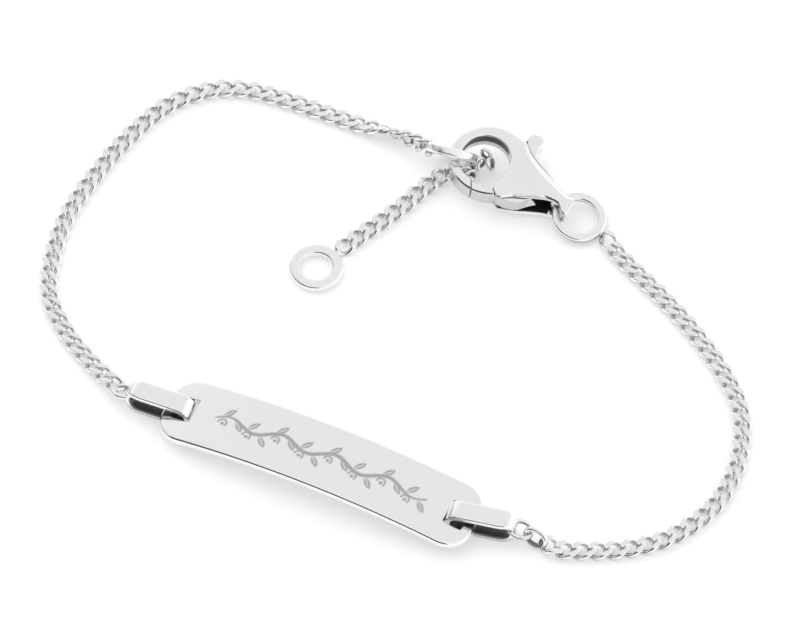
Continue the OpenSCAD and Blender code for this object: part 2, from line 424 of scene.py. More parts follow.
class Effects:
    """Node groups that the finishes share. Each is built once."""

    HAIR_TURN = 24.0
    HAIR_SCALE = (900.0, 9000.0, 4000.0)
    HAIR_THINNESS = 3.0
    HAIR_SHARE = 0.35
    PATCH_SCALE = 420.0
    PATCH_SHARE = 0.4
    CLOUD_SCALE = 700.0
    CLOUD_FROM = 0.3
    CLOUD_SHARE = 0.06

    def __init__(self) -> None:
        """Builds both groups."""
        self.handling = self._handling()
        self.depth_tone = self._depth_tone()

    @staticmethod
    def _new(name: str, takes: dict[str, str], gives: dict[str, str]) -> Nodes:
        """An empty group with named sockets.

        Args:
            name: the group's name.
            takes: type of each input socket by its name.
            gives: type of each output socket by its name.
        Returns:
            A node adder for the group.
        """
        tree = bpy.data.node_groups.new(name, "ShaderNodeTree")
        for way, sockets in (("INPUT", takes), ("OUTPUT", gives)):
            for title, kind in sockets.items():
                tree.interface.new_socket(name=title, in_out=way, socket_type=kind)
        return Nodes(tree)

    def _handling(self) -> bpy.types.ShaderNodeTree:
        """Hairline scratches and soft patches of handling.

        Returns:
            A group that gives a roughness and a height that vary over the metal.
        """
        number = "NodeSocketFloat"
        nodes = self._new("handling", {"Position": "NodeSocketVector", "Roughness": number, "Wear": number},
                          {"Roughness": number, "Height": number})
        given = nodes.add("NodeGroupInput").outputs
        stretch = nodes.add("ShaderNodeMapping", Vector=given["Position"],
                            Rotation=(0.0, 0.0, math.radians(self.HAIR_TURN)), Scale=self.HAIR_SCALE)
        hairs = nodes.noise(stretch.outputs[0], 1.0, detail=3.0, rough=0.6)
        hair = nodes.math("POWER", hairs, self.HAIR_THINNESS)
        patch = nodes.math("SUBTRACT", nodes.noise(given["Position"], self.PATCH_SCALE), 0.5)
        uneven = nodes.math("ADD", nodes.math("MULTIPLY", hair, self.HAIR_SHARE),
                            nodes.math("MULTIPLY", patch, self.PATCH_SHARE))
        change = nodes.math("MULTIPLY", uneven, given["Wear"])
        nodes.add("NodeGroupOutput", Roughness=nodes.math("ADD", given["Roughness"], change),
                  Height=nodes.math("MULTIPLY", hair, given["Wear"]))
        return nodes.tree

    def _depth_tone(self) -> bpy.types.ShaderNodeTree:
        """The metal's colour: its own tone, a little uneven, turned toward a darker colour where a mask is
        high, which is painted shade on most pieces and the engraved lines on the plate.

        Returns:
            A group that gives the colour.
        """
        colour = "NodeSocketColor"
        nodes = self._new("depth tone", {"Position": "NodeSocketVector", "Tone": colour, "Tarnish": colour,
                                         "Mask": "NodeSocketFloat"}, {"Color": colour})
        given = nodes.add("NodeGroupInput").outputs
        above = nodes.math("SUBTRACT", nodes.noise(given["Position"], self.CLOUD_SCALE), self.CLOUD_FROM)
        uneven = nodes.mixed(nodes.math("MULTIPLY", above, self.CLOUD_SHARE), given["Tone"], given["Tarnish"])
        nodes.add("NodeGroupOutput", Color=nodes.mixed(given["Mask"], uneven, given["Tarnish"]))
        return nodes.tree


@dataclass(frozen=True)
class Silver:
    """One silver finish: its tone, its gloss, and how a mask at the points darkens and dulls it. On most
    pieces the mask is painted shade in hollows, on insides and on undersides; on the plate it marks the
    engraved lines.
    """

    name: str
    roughness: float
    wear: float
    tarnish_and_shade: Colour
    tone: Colour = (0.93, 0.93, 0.935, 1.0)
    mask: str = "recess"
    mask_roughness: float = 0.25
    scratch_height: float = 0.0006

    def material(self, effects: Effects) -> bpy.types.Material:
        """Builds the finish.

        Args:
            effects: the shared node groups.
        Returns:
            A metal material on Object coordinates and the mask attribute.
        """
        made = bpy.data.materials.new(self.name)
        made.use_nodes = True
        made.node_tree.nodes.clear()
        nodes = Nodes(made.node_tree)
        place = nodes.add("ShaderNodeTexCoord").outputs["Object"]
        # The mask darkens the colour and raises the roughness: painted shade on most pieces, the engraved
        # lines on the plate.
        mask = nodes.add("ShaderNodeAttribute", {"attribute_name": self.mask}).outputs["Fac"]
        base = nodes.math("ADD", nodes.math("MULTIPLY", mask, self.mask_roughness), self.roughness)
        handling = nodes.add("ShaderNodeGroup", {"node_tree": effects.handling},
                             Position=place, Roughness=base, Wear=self.wear)
        colour = nodes.add("ShaderNodeGroup", {"node_tree": effects.depth_tone},
                           Position=place, Tone=self.tone, Tarnish=self.tarnish_and_shade, Mask=mask)
        bump = nodes.add("ShaderNodeBump", Height=handling.outputs["Height"],
                         Strength=1.0, Distance=self.scratch_height * MM)
        shader = nodes.add("ShaderNodeBsdfPrincipled", Metallic=1.0, Base_Color=colour.outputs["Color"],
                           Roughness=handling.outputs["Roughness"], Normal=bump.outputs["Normal"])
        nodes.add("ShaderNodeOutputMaterial", Surface=shader.outputs["BSDF"])
        return made


@dataclass(frozen=True)
class Finishes:
    """The finishes of the bracelet."""

    plate: bpy.types.Material
    strip: bpy.types.Material
    chain: bpy.types.Material
    ring: bpy.types.Material
    clasp: bpy.types.Material

    @staticmethod
    def made() -> "Finishes":
        """Builds the shared groups and every finish.

        Returns:
            The finishes.
        """
        effects = Effects()
        plate = Silver("plate silver", 0.13, 0.10, (0.50, 0.50, 0.51, 1.0), mask="engraved",
                       mask_roughness=0.45)
        # The strip, chain, ring and clasp finishes darken toward their dark colour under painted shade; the
        # plate's darker colour is that of its engraved lines.
        return Finishes(
            plate=plate.material(effects),
            strip=Silver("strip silver", 0.13, 0.10, (0.15, 0.15, 0.155, 1.0)).material(effects),
            chain=Silver("chain silver", 0.19, 0.12, (0.10, 0.10, 0.105, 1.0)).material(effects),
            ring=Silver("ring silver", 0.27, 0.12, (0.15, 0.15, 0.155, 1.0)).material(effects),
            clasp=Silver("clasp silver", 0.13, 0.12, (0.08, 0.08, 0.085, 1.0)).material(effects))


class Route:
    """A smooth curve through given rows, with a turn about itself, measured by its length."""

    STEPS = 24
    REACH = 0.25

    def __init__(self, rows: list[Row]) -> None:
        """Works out the curve.

        Args:
            rows: x, y, height and turn of each point.
        """
        row = np.array(rows, float)
        before, after = np.vstack([row[:1], row[:-2]]), np.vstack([row[2:], row[-1:]])
        self.curve = np.vstack([smooth_run(before, row[:-1], row[1:], after, self.STEPS), row[-1:]])
        steps = np.linalg.norm(np.diff(self.curve[:, :3], axis=0), axis=1)
        self.along = np.concatenate([[0], np.cumsum(steps)])

    @property
    def length(self) -> float:
        """Length of the curve."""
        return float(self.along[-1])

    def _row(self, distance: np.ndarray) -> np.ndarray:
        """Place and turn at distances from the start, on straight lines between the curve's points."""
        return np.stack([np.interp(distance, self.along, column) for column in self.curve.T], axis=-1)

    def at(self, distance: np.ndarray) -> tuple[np.ndarray, np.ndarray]:
        """Places and frames at distances from the start.

        Args:
            distance: one or more distances.
        Returns:
            Points (n by 3), and frames (n by 3 by 3) whose columns run along the route, across the flat of
            the chain, and through it.
        """
        row = self._row(distance)
        run = unit((self._row(distance + self.REACH) - self._row(distance - self.REACH))[:, :3])
        flat = unit(np.cross([0.0, 0.0, 1.0], run))
        turn = np.radians(row[:, 3:])
        across = flat * np.cos(turn) + np.cross(run, flat) * np.sin(turn)
        return row[:, :3], np.stack([run, across, np.cross(run, across)], axis=-1)


@dataclass(frozen=True)
class CurbLink:
    """A link of curb chain: an oval of round wire, twisted about the chain and pressed flat."""

    half_length: float = 0.97
    half_width: float = 0.63
    wire: float = 0.42
    squareness: float = 2.4
    twist: float = 50.0
    stretch: float = 1.1
    half_thickness: float = 0.43
    half_span: float = 0.845
    press: int = 24
    # Painted shade: how dark the inside of the loop and the underside are made, and where.
    inside_shade: float = 0.24
    under_shade: float = 0.24
    inside_run: Span = (0.1, 0.6)
    top_run: Span = (0.03, 0.13)
    under_run: Span = (-0.05, -0.25)
    around: int = 48
    section: int = 20

    def surface(self) -> Surface:
        """The link about the origin, with the chain along X and its flat side up.

        The wire's middle runs through x = a c, r = b s, where c and s are the squared cosine and sine of t,
        and r is turned about X by -twist sin(pi x / 2a). The height is stretched, and both the height and the
        width are pressed.

        Returns:
            The link, with painted shade on its inside and underneath.
        """
        t = full_turn(self.around)
        x = self.half_length * self._squared(np.cos(t))
        r = self.half_width * self._squared(np.sin(t))
        turn = -math.radians(self.twist) * np.sin(math.pi / 2 * x / self.half_length)
        middle = np.stack([x, r * np.cos(turn), r * np.sin(turn)], axis=-1)
        way = unit(np.roll(middle, -1, axis=0) - np.roll(middle, 1, axis=0))
        inward = unit(np.cross(np.stack([0 * x, -np.sin(turn), np.cos(turn)], axis=-1), way))
        grid, inside = round_wire(middle, inward, np.cross(way, inward), self.wire, self.section)
        grid[..., 2] = self._pressed(grid[..., 2] * self.stretch, self.half_thickness)
        grid[..., 1] = self._pressed(grid[..., 1], self.half_span)
        z = grid[..., 2]
        # Painted shade on the inside of the loop, kept off the pressed top, and on the underside.
        recess = self.inside_shade * smooth_step(*self.inside_run, inside)
        recess *= smooth_step(*self.top_run, self.half_thickness - z)
        recess += self.under_shade * smooth_step(*self.under_run, z)
        return closed_tube(grid, middle, np.clip(recess, 0, 1))

    def _squared(self, wave: np.ndarray) -> np.ndarray:
        """A sine or cosine raised to the power 2 / squareness with its sign kept, for a squarer oval."""
        return np.sign(wave) * np.abs(wave) ** (2 / self.squareness)

    def _pressed(self, value: np.ndarray, limit: float) -> np.ndarray:
        """A value v kept within a soft limit h on both sides: v / (1 + |v / h|^n)^(1 / n)."""
        return value / (1 + np.abs(value / limit) ** self.press) ** (1 / self.press)


@dataclass(frozen=True)
class OvalLink:
    """A plain oval link of round wire that joins a chain to a piece."""

    half_length: float = 0.95
    half_width: float = 0.72
    wire: float = 0.44
    # Painted shade on the inside of the loop and underneath.
    inside_shade: float = 0.38
    under_shade: float = 0.53
    inside_run: Span = (-0.2, -0.9)
    under_run: Span = (0.1, -0.35)
    around: int = 48
    section: int = 16

    def surface(self) -> Surface:
        """The link about the origin in the XY plane, long way along X.

        The wire's middle runs through x = a cos(t), y = b sin(t).

        Returns:
            The link, with painted shade on its inside.
        """
        t = full_turn(self.around)
        middle = np.stack([self.half_length * np.cos(t), self.half_width * np.sin(t), 0 * t], axis=-1)
        out = unit(np.stack([self.half_width * np.cos(t), self.half_length * np.sin(t), 0 * t], axis=-1))
        grid, outside = round_wire(middle, out, np.array([[0.0, 0.0, 1.0]]), self.wire, self.section)
        return closed_tube(grid, middle, self.inside_shade * smooth_step(*self.inside_run, outside))


@dataclass(frozen=True)
class EndLink:
    """Where one oval link lies: its middle, the way that it points, and its turns."""

    middle: Point
    yaw: float
    pitch: float
    roll: float
    link: OvalLink = OvalLink()

    def surface(self) -> Surface:
        """The link in its place: rolled about its length, pitched, and turned in plan.

        Returns:
            The link, with painted shade underneath as well.
        """
        place = Placement(np.array(self.middle), turned(self.roll, -self.pitch, self.yaw))
        made = self.link.surface().moved(place)
        # Painted shade on the side that looks down, added to the link's own.
        under = smooth_step(*self.link.under_run, made.points[:, 2] - self.middle[2])
        made.values["recess"] = np.clip(made.values["recess"] + self.link.under_shade * under, 0, 1)
        return made


@dataclass
class Chain:
    """A stretch of curb chain along a route, with its joining links."""

    name: str
    rows: list[Row]
    start: float
    stop: float
    end_links: list[EndLink]
    pitch: float = 1.35
    link: CurbLink = CurbLink()

    def surface(self) -> Surface:
        """Curb links at an even pitch from start to stop, which are measured from both ends, and end links.

        Returns:
            All of the links.
        """
        route = Route(self.rows)
        run = route.length - self.start - self.stop
        count = round(run / self.pitch) + 1
        places, frames = route.at(self.start + np.linspace(0, run, count))
        one = self.link.surface()
        points = np.einsum("nij,pj->npi", frames, one.points) + places[:, None, :]
        faces = one.faces[None] + len(one.points) * np.arange(count)[:, None, None]
        # The painted shade of one link, repeated for every link.
        recess = np.tile(one.values["recess"], count)
        log.info("%s: %d curb links, pitch %.3f mm", self.name, count, run / (count - 1))
        curb = Surface(points.reshape(-1, 3), faces.reshape(-1, 4), {"recess": recess})
        return Surface.joined([curb] + [end.surface() for end in self.end_links])

    def build(self, finishes: Finishes) -> bpy.types.Object:
        """Puts the chain in as one piece."""
        return put_in(self.name + "_links", self.surface(), finishes.chain, BRACELET, self.name)


@dataclass(frozen=True)
class Vine:
    """A leafy stem engraved along the plate. Lengths are in the plate's own plan."""

    half_length: float = 9.6
    wave: float = 0.42
    wave_length: float = 4.8
    stroke: float = 0.36
    thinnest: float = 0.55
    taper: float = 4.0
    margins: Span = (0.5, 0.2)
    leaf_length: float = 1.25
    leaf_width: float = 0.52
    leaf_lean: float = 48.0
    stalk: float = 0.12
    rib_half_width: float = 0.035
    rib_half_length: float = 0.42
    rib_back: float = 0.1
    curl_ahead: float = 0.25
    curl_aside: float = 0.56
    curl_radius: float = 0.36
    curl_half_width: float = 0.09
    curl_middle: float = 70.0
    curl_half_swing: float = 115.0
    berry: float = 0.17
    berry_shift: Span = (0.02, 0.05)
    softness: float = 0.05

    def mask(self, u: np.ndarray, v: np.ndarray) -> np.ndarray:
        """One inside the engraved lines and zero outside.

        The stem is v = w sin(2 pi u / l); the leaves are lenses, each the overlap of two circles; the
        tendrils are arcs and the berries discs. The nearest of them gives the distance.

        Args:
            u: places along the plate.
            v: places across it.
        Returns:
            Values from 0 to 1.
        """
        k = 2 * math.pi / self.wave_length
        slope = np.hypot(1, self.wave * k * np.cos(k * u))
        end = (self.half_length, self.half_length - self.taper)
        half_stroke = self.stroke / 2 * eased((self.thinnest, 1.0), end, np.abs(u))
        across = np.abs(v - self.wave * np.sin(k * u)) / slope
        stem = np.maximum(across - half_stroke, np.abs(u) - self.half_length)
        spots = np.arange(-self.half_length + self.margins[0], self.half_length - self.margins[1],
                          self.wave_length / 4)
        side = np.where(np.arange(len(spots)) % 2 == 0, 1.0, -1.0)
        du, dv = u[..., None] - spots, v[..., None] - self.wave * np.sin(k * spots)
        nearest = np.minimum(np.minimum(stem, self._leaves(du, dv, side)), self._curls(du, dv, side))
        return smooth_step(self.softness, -self.softness, nearest)

    def _leaves(self, du: np.ndarray, dv: np.ndarray, side: np.ndarray) -> np.ndarray:
        """Distance to the nearest leaf, which leans forward from its root and has a rib left bare.

        Args:
            du: how far along the plate each place lies from each root.
            dv: how far across it.
            side: 1 for a leaf on the far side of the stem, -1 for one on the near side.
        Returns:
            One distance for each place.
        """
        lean = np.radians(self.leaf_lean) * side
        reach = 0.5 * self.leaf_length + self.stalk
        du, dv = du - reach * np.cos(lean), dv - reach * np.sin(lean)
        along = du * np.cos(lean) + dv * np.sin(lean)
        across = np.abs(dv * np.cos(lean) - du * np.sin(lean))
        big = (self.leaf_length ** 2 + self.leaf_width ** 2) / (4 * self.leaf_width)
        lens = np.hypot(along, across + big - self.leaf_width / 2) - big
        rib = np.maximum(across - self.rib_half_width, np.abs(along + self.rib_back) - self.rib_half_length)
        return np.maximum(lens, -rib).min(axis=-1)

    def _curls(self, du: np.ndarray, dv: np.ndarray, side: np.ndarray) -> np.ndarray:
        """Distance to the nearest tendril or berry, across the stem from every second leaf.

        Args:
            du: how far along the plate each place lies from each root.
            dv: how far across it.
            side: the side of each leaf.
        Returns:
            One distance for each place.
        """
        du, dv = du - self.curl_ahead, dv + self.curl_aside * side
        turn = np.arctan2(dv * side, du) - math.radians(self.curl_middle)
        past = np.abs((turn + math.pi) % (2 * math.pi) - math.pi) - math.radians(self.curl_half_swing)
        apart = np.abs(np.hypot(du, dv) - self.curl_radius) - self.curl_half_width
        arc = np.maximum(apart, past * self.curl_radius)
        berry = np.hypot(du - self.berry_shift[0], dv + self.berry_shift[1] * side) - self.berry
        return np.minimum(arc, berry)[..., ::2].min(axis=-1)


@dataclass
class Plate:
    """The arched plate with a slot at each end, its edges softened, and a vine engraved on it."""

    middle: Span = (-6.0, -15.15)
    yaw: float = -24.9
    half_length: float = 14.1
    half_width: float = 3.15
    thickness: float = 0.8
    arch_radius: float = 69.0
    lift: float = 0.55
    corner: float = 2.3
    slot_middle: float = 12.3
    slot_half_along: float = 0.8
    slot_half_across: float = 1.15
    slot_squareness: float = 12.0
    edge: float = 0.3
    slot_edge: float = 0.12
    seam: float = 10.9
    cell: float = 0.075
    side_cells: int = 3
    corner_cells: int = 16
    end_cells: int = 5
    ring_cells: int = 12
    edge_cells: int = 7
    engraving_depth: float = 0.02
    vine: Vine = Vine()

    def top(self, u: np.ndarray) -> np.ndarray:
        """Height of the upper face: an arc of the arch's radius about an axis across the plate."""
        return self._axis() + np.sqrt(self.arch_radius ** 2 - u ** 2)

    def bottom(self, u: np.ndarray) -> np.ndarray:
        """Height of the lower face: an arc about the same axis, less the thickness."""
        return self._axis() + np.sqrt((self.arch_radius - self.thickness) ** 2 - u ** 2)

    def _axis(self) -> float:
        """Height of the arch's axis, below the surface that the bracelet lies on."""
        tilt = math.asin(self.half_length / self.arch_radius)
        return self.lift + (self.thickness - self.arch_radius) * math.cos(tilt)

    def _sheet(self, plan: np.ndarray, upper: bool) -> Surface:
        """A patch of the upper or lower face.

        Args:
            plan: a grid of plan points.
            upper: whether the patch is on the upper face, which is engraved.
        Returns:
            The patch, facing away from the metal.
        """
        u, v = plan[..., 0], plan[..., 1]
        mask = self.vine.mask(u, v) if upper else np.zeros_like(u)
        z = self.top(u) - self.engraving_depth * mask if upper else self.bottom(u)
        sheet = grid_surface(np.stack([u, v, z], axis=-1), engraved=mask)
        return sheet.facing(np.array([0.0, 0.0, 1.0 if upper else -1.0]))

    def _end_outline(self) -> tuple[np.ndarray, np.ndarray]:
        """The right end's edge from the seam round to the seam, and the way that it faces.

        Returns:
            Plan points and unit directions, both n by 2, from the near side to the far side.
        """
        inner_x, inner_y = self.half_length - self.edge, self.half_width - self.edge
        r = self.corner - self.edge
        swing = np.radians(np.linspace(-90, 0, self.corner_cells + 1))
        facing = np.stack([np.cos(swing), np.sin(swing)], axis=-1)
        side_u = np.linspace(self.seam, inner_x - r, self.side_cells + 1)[:-1]
        end_v = np.linspace(-inner_y + r, 0, self.end_cells + 1)[1:]
        near = np.concatenate([
            np.stack([side_u, np.full(self.side_cells, -inner_y)], axis=-1),
            [inner_x - r, -inner_y + r] + r * facing,
            np.stack([np.full(self.end_cells, inner_x), end_v], axis=-1)])
        way = np.concatenate([
            np.tile([0.0, -1.0], (self.side_cells, 1)), facing, np.tile([1.0, 0.0], (self.end_cells, 1))])
        flip = np.array([1.0, -1.0])
        return np.concatenate([near, near[-2::-1] * flip]), np.concatenate([way, way[-2::-1] * flip])

    def _slot_loop(self, outer: np.ndarray, outset: float) -> np.ndarray:
        """The slot's edge, which is the curve |x / a|^p + |y / b|^p = 1 about the slot's middle.

        Args:
            outer: plan points of the loop round the slot.
            outset: how much larger than the slot the curve is.
        Returns:
            The points where rays from the slot's middle to the loop cross the curve.
        """
        ray = unit(outer - [self.slot_middle, 0.0])
        a, b, p = self.slot_half_along + outset, self.slot_half_across + outset, self.slot_squareness
        reach = (np.abs(ray[:, 0] / a) ** p + np.abs(ray[:, 1] / b) ** p) ** (-1 / p)
        return ray * reach[:, None] + [self.slot_middle, 0.0]

    def _wall(self, loop: np.ndarray, out: np.ndarray, radius: float) -> Surface:
        """The edge along a loop: a quarter round from the upper face, a wall, and a quarter round below.

        Args:
            loop: plan points where the upper face ends.
            out: at each point, the way out of the metal.
            radius: radius of the quarter rounds.
        Returns:
            The closed strip between the two faces.
        """
        swing = np.radians(np.linspace(0, 90, self.edge_cells + 1))
        reach = radius * np.sin(swing)
        drop = radius * (1 - np.cos(swing))
        plan = loop[:, None] + out[:, None] * np.concatenate([reach, reach[::-1]])[None, :, None]
        height = np.concatenate([self.top(loop[:, :1]) - drop, self.bottom(loop[:, :1]) + drop[::-1]], axis=1)
        grid = np.concatenate([plan, height[..., None]], axis=-1)
        wall = grid_surface(grid, close_rows=True, engraved=np.zeros_like(height))
        way = np.concatenate([out, np.zeros((len(out), 1))], axis=1)
        return wall.facing(np.repeat(way, 2 * len(swing), axis=0))

    def surface(self) -> Surface:
        """The plate in its own frame: a middle patch, a ring patch round each slot, and the edges.

        Returns:
            The closed surface, with the engraved lines marked.
        """
        inner = self.half_width - self.edge
        v = np.linspace(-inner, inner, round(2 * inner / self.cell) + 1)
        u = np.linspace(-self.seam, self.seam, round(2 * self.seam / self.cell) + 1)
        middle = np.stack(np.meshgrid(u, v, indexing="ij"), axis=-1)
        outline, way = self._end_outline()
        seam = np.stack([np.full(len(v) - 2, self.seam), v[-2:0:-1]], axis=-1)
        outer = np.concatenate([outline, seam])
        slot = self._slot_loop(outer, self.slot_edge)
        blend = np.linspace(0, 1, self.ring_cells + 1)[None, :, None]
        ring = slot[:, None] * (1 - blend) + outer[:, None] * blend
        ring = np.concatenate([ring, ring[:1]])
        tangent = np.roll(slot, -1, axis=0) - np.roll(slot, 1, axis=0)
        into = unit(np.stack([-tangent[:, 1], tangent[:, 0]], axis=-1))
        into *= np.sign(np.sum(into * ([self.slot_middle, 0.0] - slot), axis=1))[:, None]
        mirror = np.array([-1.0, 1.0])
        plans = (middle, ring, ring * mirror)
        parts = [self._sheet(plan, upper) for upper in (True, False) for plan in plans]
        parts += [self._wall(slot * side, into * side, self.slot_edge) for side in (np.ones(2), mirror)]
        near = np.stack([u[1:-1], np.full(len(u) - 2, v[0])], axis=-1)
        loop = np.concatenate([near, outline, near[::-1] * [1.0, -1.0], outline[::-1] * mirror])
        straight = np.tile([0.0, -1.0], (len(near), 1))
        out = np.concatenate([straight, way, -straight, way[::-1] * mirror])
        parts.append(self._wall(loop, out, self.edge))
        return Surface.joined(parts).welded()

    def build(self, finishes: Finishes) -> bpy.types.Object:
        """Puts the plate in its place."""
        made = self.surface().moved(Placement(np.array([*self.middle, 0.0]), turned(z=self.yaw)))
        return put_in("engraved_plate", made, finishes.plate, BRACELET, "plate")


@dataclass
class Connector:
    """A strip folded into a long loop that joins the plate to a chain."""

    name: str
    grip: float
    yaw: float
    plate: Plate
    length: float = 5.7
    height: float = 2.4
    thickness: float = 0.54
    half_width: float = 0.9
    reach: float = 0.33
    nose: float = 1.5
    nose_drop: float = 0.55
    edge: float = 0.2
    # Painted shade: where the inside of the loop darkens, and how dark the lower run is made.
    inside_run: Span = (-0.17, -0.25)
    lower_shade: float = 0.4
    lower_run: Span = (-0.5, -0.8)
    bend_cells: int = 32
    run_cells: int = 24
    corner_cells: int = 5

    def surface(self) -> Surface:
        """The loop in its own frame, X from the plate to the chain.

        The strip's middle follows two straight runs joined by half circles. Its section is a bar with round
        corners whose half width falls by d (1 - sqrt(1 - q^2)) as q goes from 0 to 1 along the chain's end.

        Returns:
            The closed strip, with painted shade on the inside of the loop and along its lower run.
        """
        end_r = (self.height - self.thickness) / 2
        left, right = self.height / 2 - self.reach, self.length - self.height / 2
        swing = np.radians(np.linspace(-90, 90, self.bend_cells + 1))
        run = np.linspace(left, right, self.run_cells + 1)[1:-1]
        out_x = np.concatenate([np.cos(swing), run * 0, -np.cos(swing), run * 0])
        out_z = np.concatenate([np.sin(swing), run * 0 + 1, -np.sin(swing), run * 0 - 1])
        centre_x = np.concatenate([swing * 0 + right, run[::-1], swing * 0 + left, run])
        x, z = centre_x + end_r * out_x, end_r * out_z
        past = np.clip((x - self.length + self.thickness / 2) / self.nose + 1, 0, 1)
        half = self.half_width - self.nose_drop * (1 - np.sqrt(1 - past ** 2))
        section = rounded_bar(half, self.thickness / 2, self.edge, self.corner_cells)
        across, through = section[..., 0], section[..., 1]
        far = x[:, None] + out_x[:, None] * through
        high = z[:, None] + out_z[:, None] * through
        grid = np.stack([far, across, high], axis=-1)
        # Painted shade on the lower run and on the inside of the loop.
        lower = self.lower_shade * smooth_step(*self.lower_run, high)
        recess = np.maximum(smooth_step(*self.inside_run, through), lower)
        return closed_tube(grid, np.stack([x, 0 * x, z], axis=-1), recess)

    def place(self) -> Placement:
        """Where the loop hangs: in the plate's slot, at a distance along the plate.

        Returns:
            The move from the loop's own frame.
        """
        turn = math.radians(self.plate.yaw)
        x = self.plate.middle[0] + self.grip * math.cos(turn)
        y = self.plate.middle[1] + self.grip * math.sin(turn)
        return Placement(np.array([x, y, self.height / 2]), turned(z=self.yaw))

    def build(self, finishes: Finishes) -> bpy.types.Object:
        """Hangs the loop in the plate's slot."""
        made = self.surface().moved(self.place())
        return put_in(self.name + "_strip", made, finishes.strip, BRACELET, self.name)


@dataclass
class Ring:
    """A ring of stout wire with slightly flattened sides."""

    piece: str
    node: str
    outer: float
    wire: float
    height: float
    place: Placement
    edge: float = 0.25
    # Painted shade on the part of the ring that looks down.
    under_shade: float = 0.8
    under_run: Span = (0.15, -0.2)
    around: int = 128
    corner_cells: int = 8

    def surface(self) -> Surface:
        """The ring in its place: a bar with round corners carried round a circle.

        Returns:
            The closed surface, with painted shade where it looks down.
        """
        radius = (self.outer - self.wire) / 2
        half = np.full(self.around, self.wire / 2)
        section = rounded_bar(half, self.height / 2, self.edge, self.corner_cells)
        turn = full_turn(self.around)[:, None]
        reach = radius + section[..., 0]
        grid = np.stack([reach * np.cos(turn), reach * np.sin(turn), section[..., 1]], axis=-1)
        middle = radius * np.concatenate([np.cos(turn), np.sin(turn), 0 * turn], axis=1)
        # Painted shade where the skin looks down, in the bracelet's frame.
        down = self.place.vectors(unit(grid - middle[:, None]))[..., 2]
        recess = self.under_shade * smooth_step(*self.under_run, down)
        return closed_tube(grid, middle, recess).moved(self.place)

    def build(self, finishes: Finishes) -> bpy.types.Object:
        """Puts the ring in."""
        return put_in(self.piece, self.surface(), finishes.ring, BRACELET, self.node)


def smooth_outline(corners: Sequence[Span], steps: int) -> np.ndarray:
    """A closed smooth curve through corner points, with so many points along each stretch."""
    b = np.array(corners, float)
    return smooth_run(np.roll(b, 1, axis=0), b, np.roll(b, -1, axis=0), np.roll(b, -2, axis=0), steps)


def outline_distance(plan: np.ndarray, corners: Sequence[Span] | np.ndarray) -> np.ndarray:
    """Signed distance from plan points to a closed outline, negative inside.

    It is the distance to the nearest edge, and its sign counts how often a ray crosses the outline.

    Args:
        plan: points by 2.
        corners: corners by 2.
    Returns:
        One distance for each point.
    """
    outline = np.asarray(corners, float)
    edge = np.roll(outline, -1, axis=0) - outline
    w = plan[:, None] - outline[None]
    share = np.clip(np.sum(w * edge, axis=-1) / np.sum(edge * edge, axis=-1), 0, 1)
    apart = w - edge * share[..., None]
    near = np.sqrt(np.min(np.sum(apart * apart, axis=-1), axis=1))
    above = w[..., 1] >= 0
    next_above = w[..., 1] >= edge[:, 1]
    side = edge[:, 0] * w[..., 1] - edge[:, 1] * w[..., 0] > 0
    crossings = np.sum((above & ~next_above & ~side) | (~above & next_above & side), axis=1)
    return np.where(crossings % 2 == 1, -near, near)


def either(a: np.ndarray, b: np.ndarray, softness: float) -> np.ndarray:
    """Distance to two solids joined with a fillet: min(a, b) with a parabola where they are near."""
    h = np.clip(0.5 + 0.5 * (b - a) / softness, 0, 1)
    return b + (a - b) * h - softness * h * (1 - h)


def both(a: np.ndarray, b: np.ndarray, radius: np.ndarray | float) -> np.ndarray:
    """Distance to what two solids share, with a round edge: a circle of the radius where both are near."""
    a, b = a + radius, b + radius
    return np.minimum(np.maximum(a, b), 0) + np.hypot(np.maximum(a, 0), np.maximum(b, 0)) - radius


def bevelled(a: np.ndarray, b: np.ndarray, size: np.ndarray | float,
             fall: np.ndarray | float = 1.0) -> np.ndarray:
    """Distance to what two solids share, less the edge beyond the plane f (a + size) + b = 0, a bevel."""
    return np.maximum(np.maximum(a, b), (fall * (a + size) + b) / np.hypot(fall, 1.0))


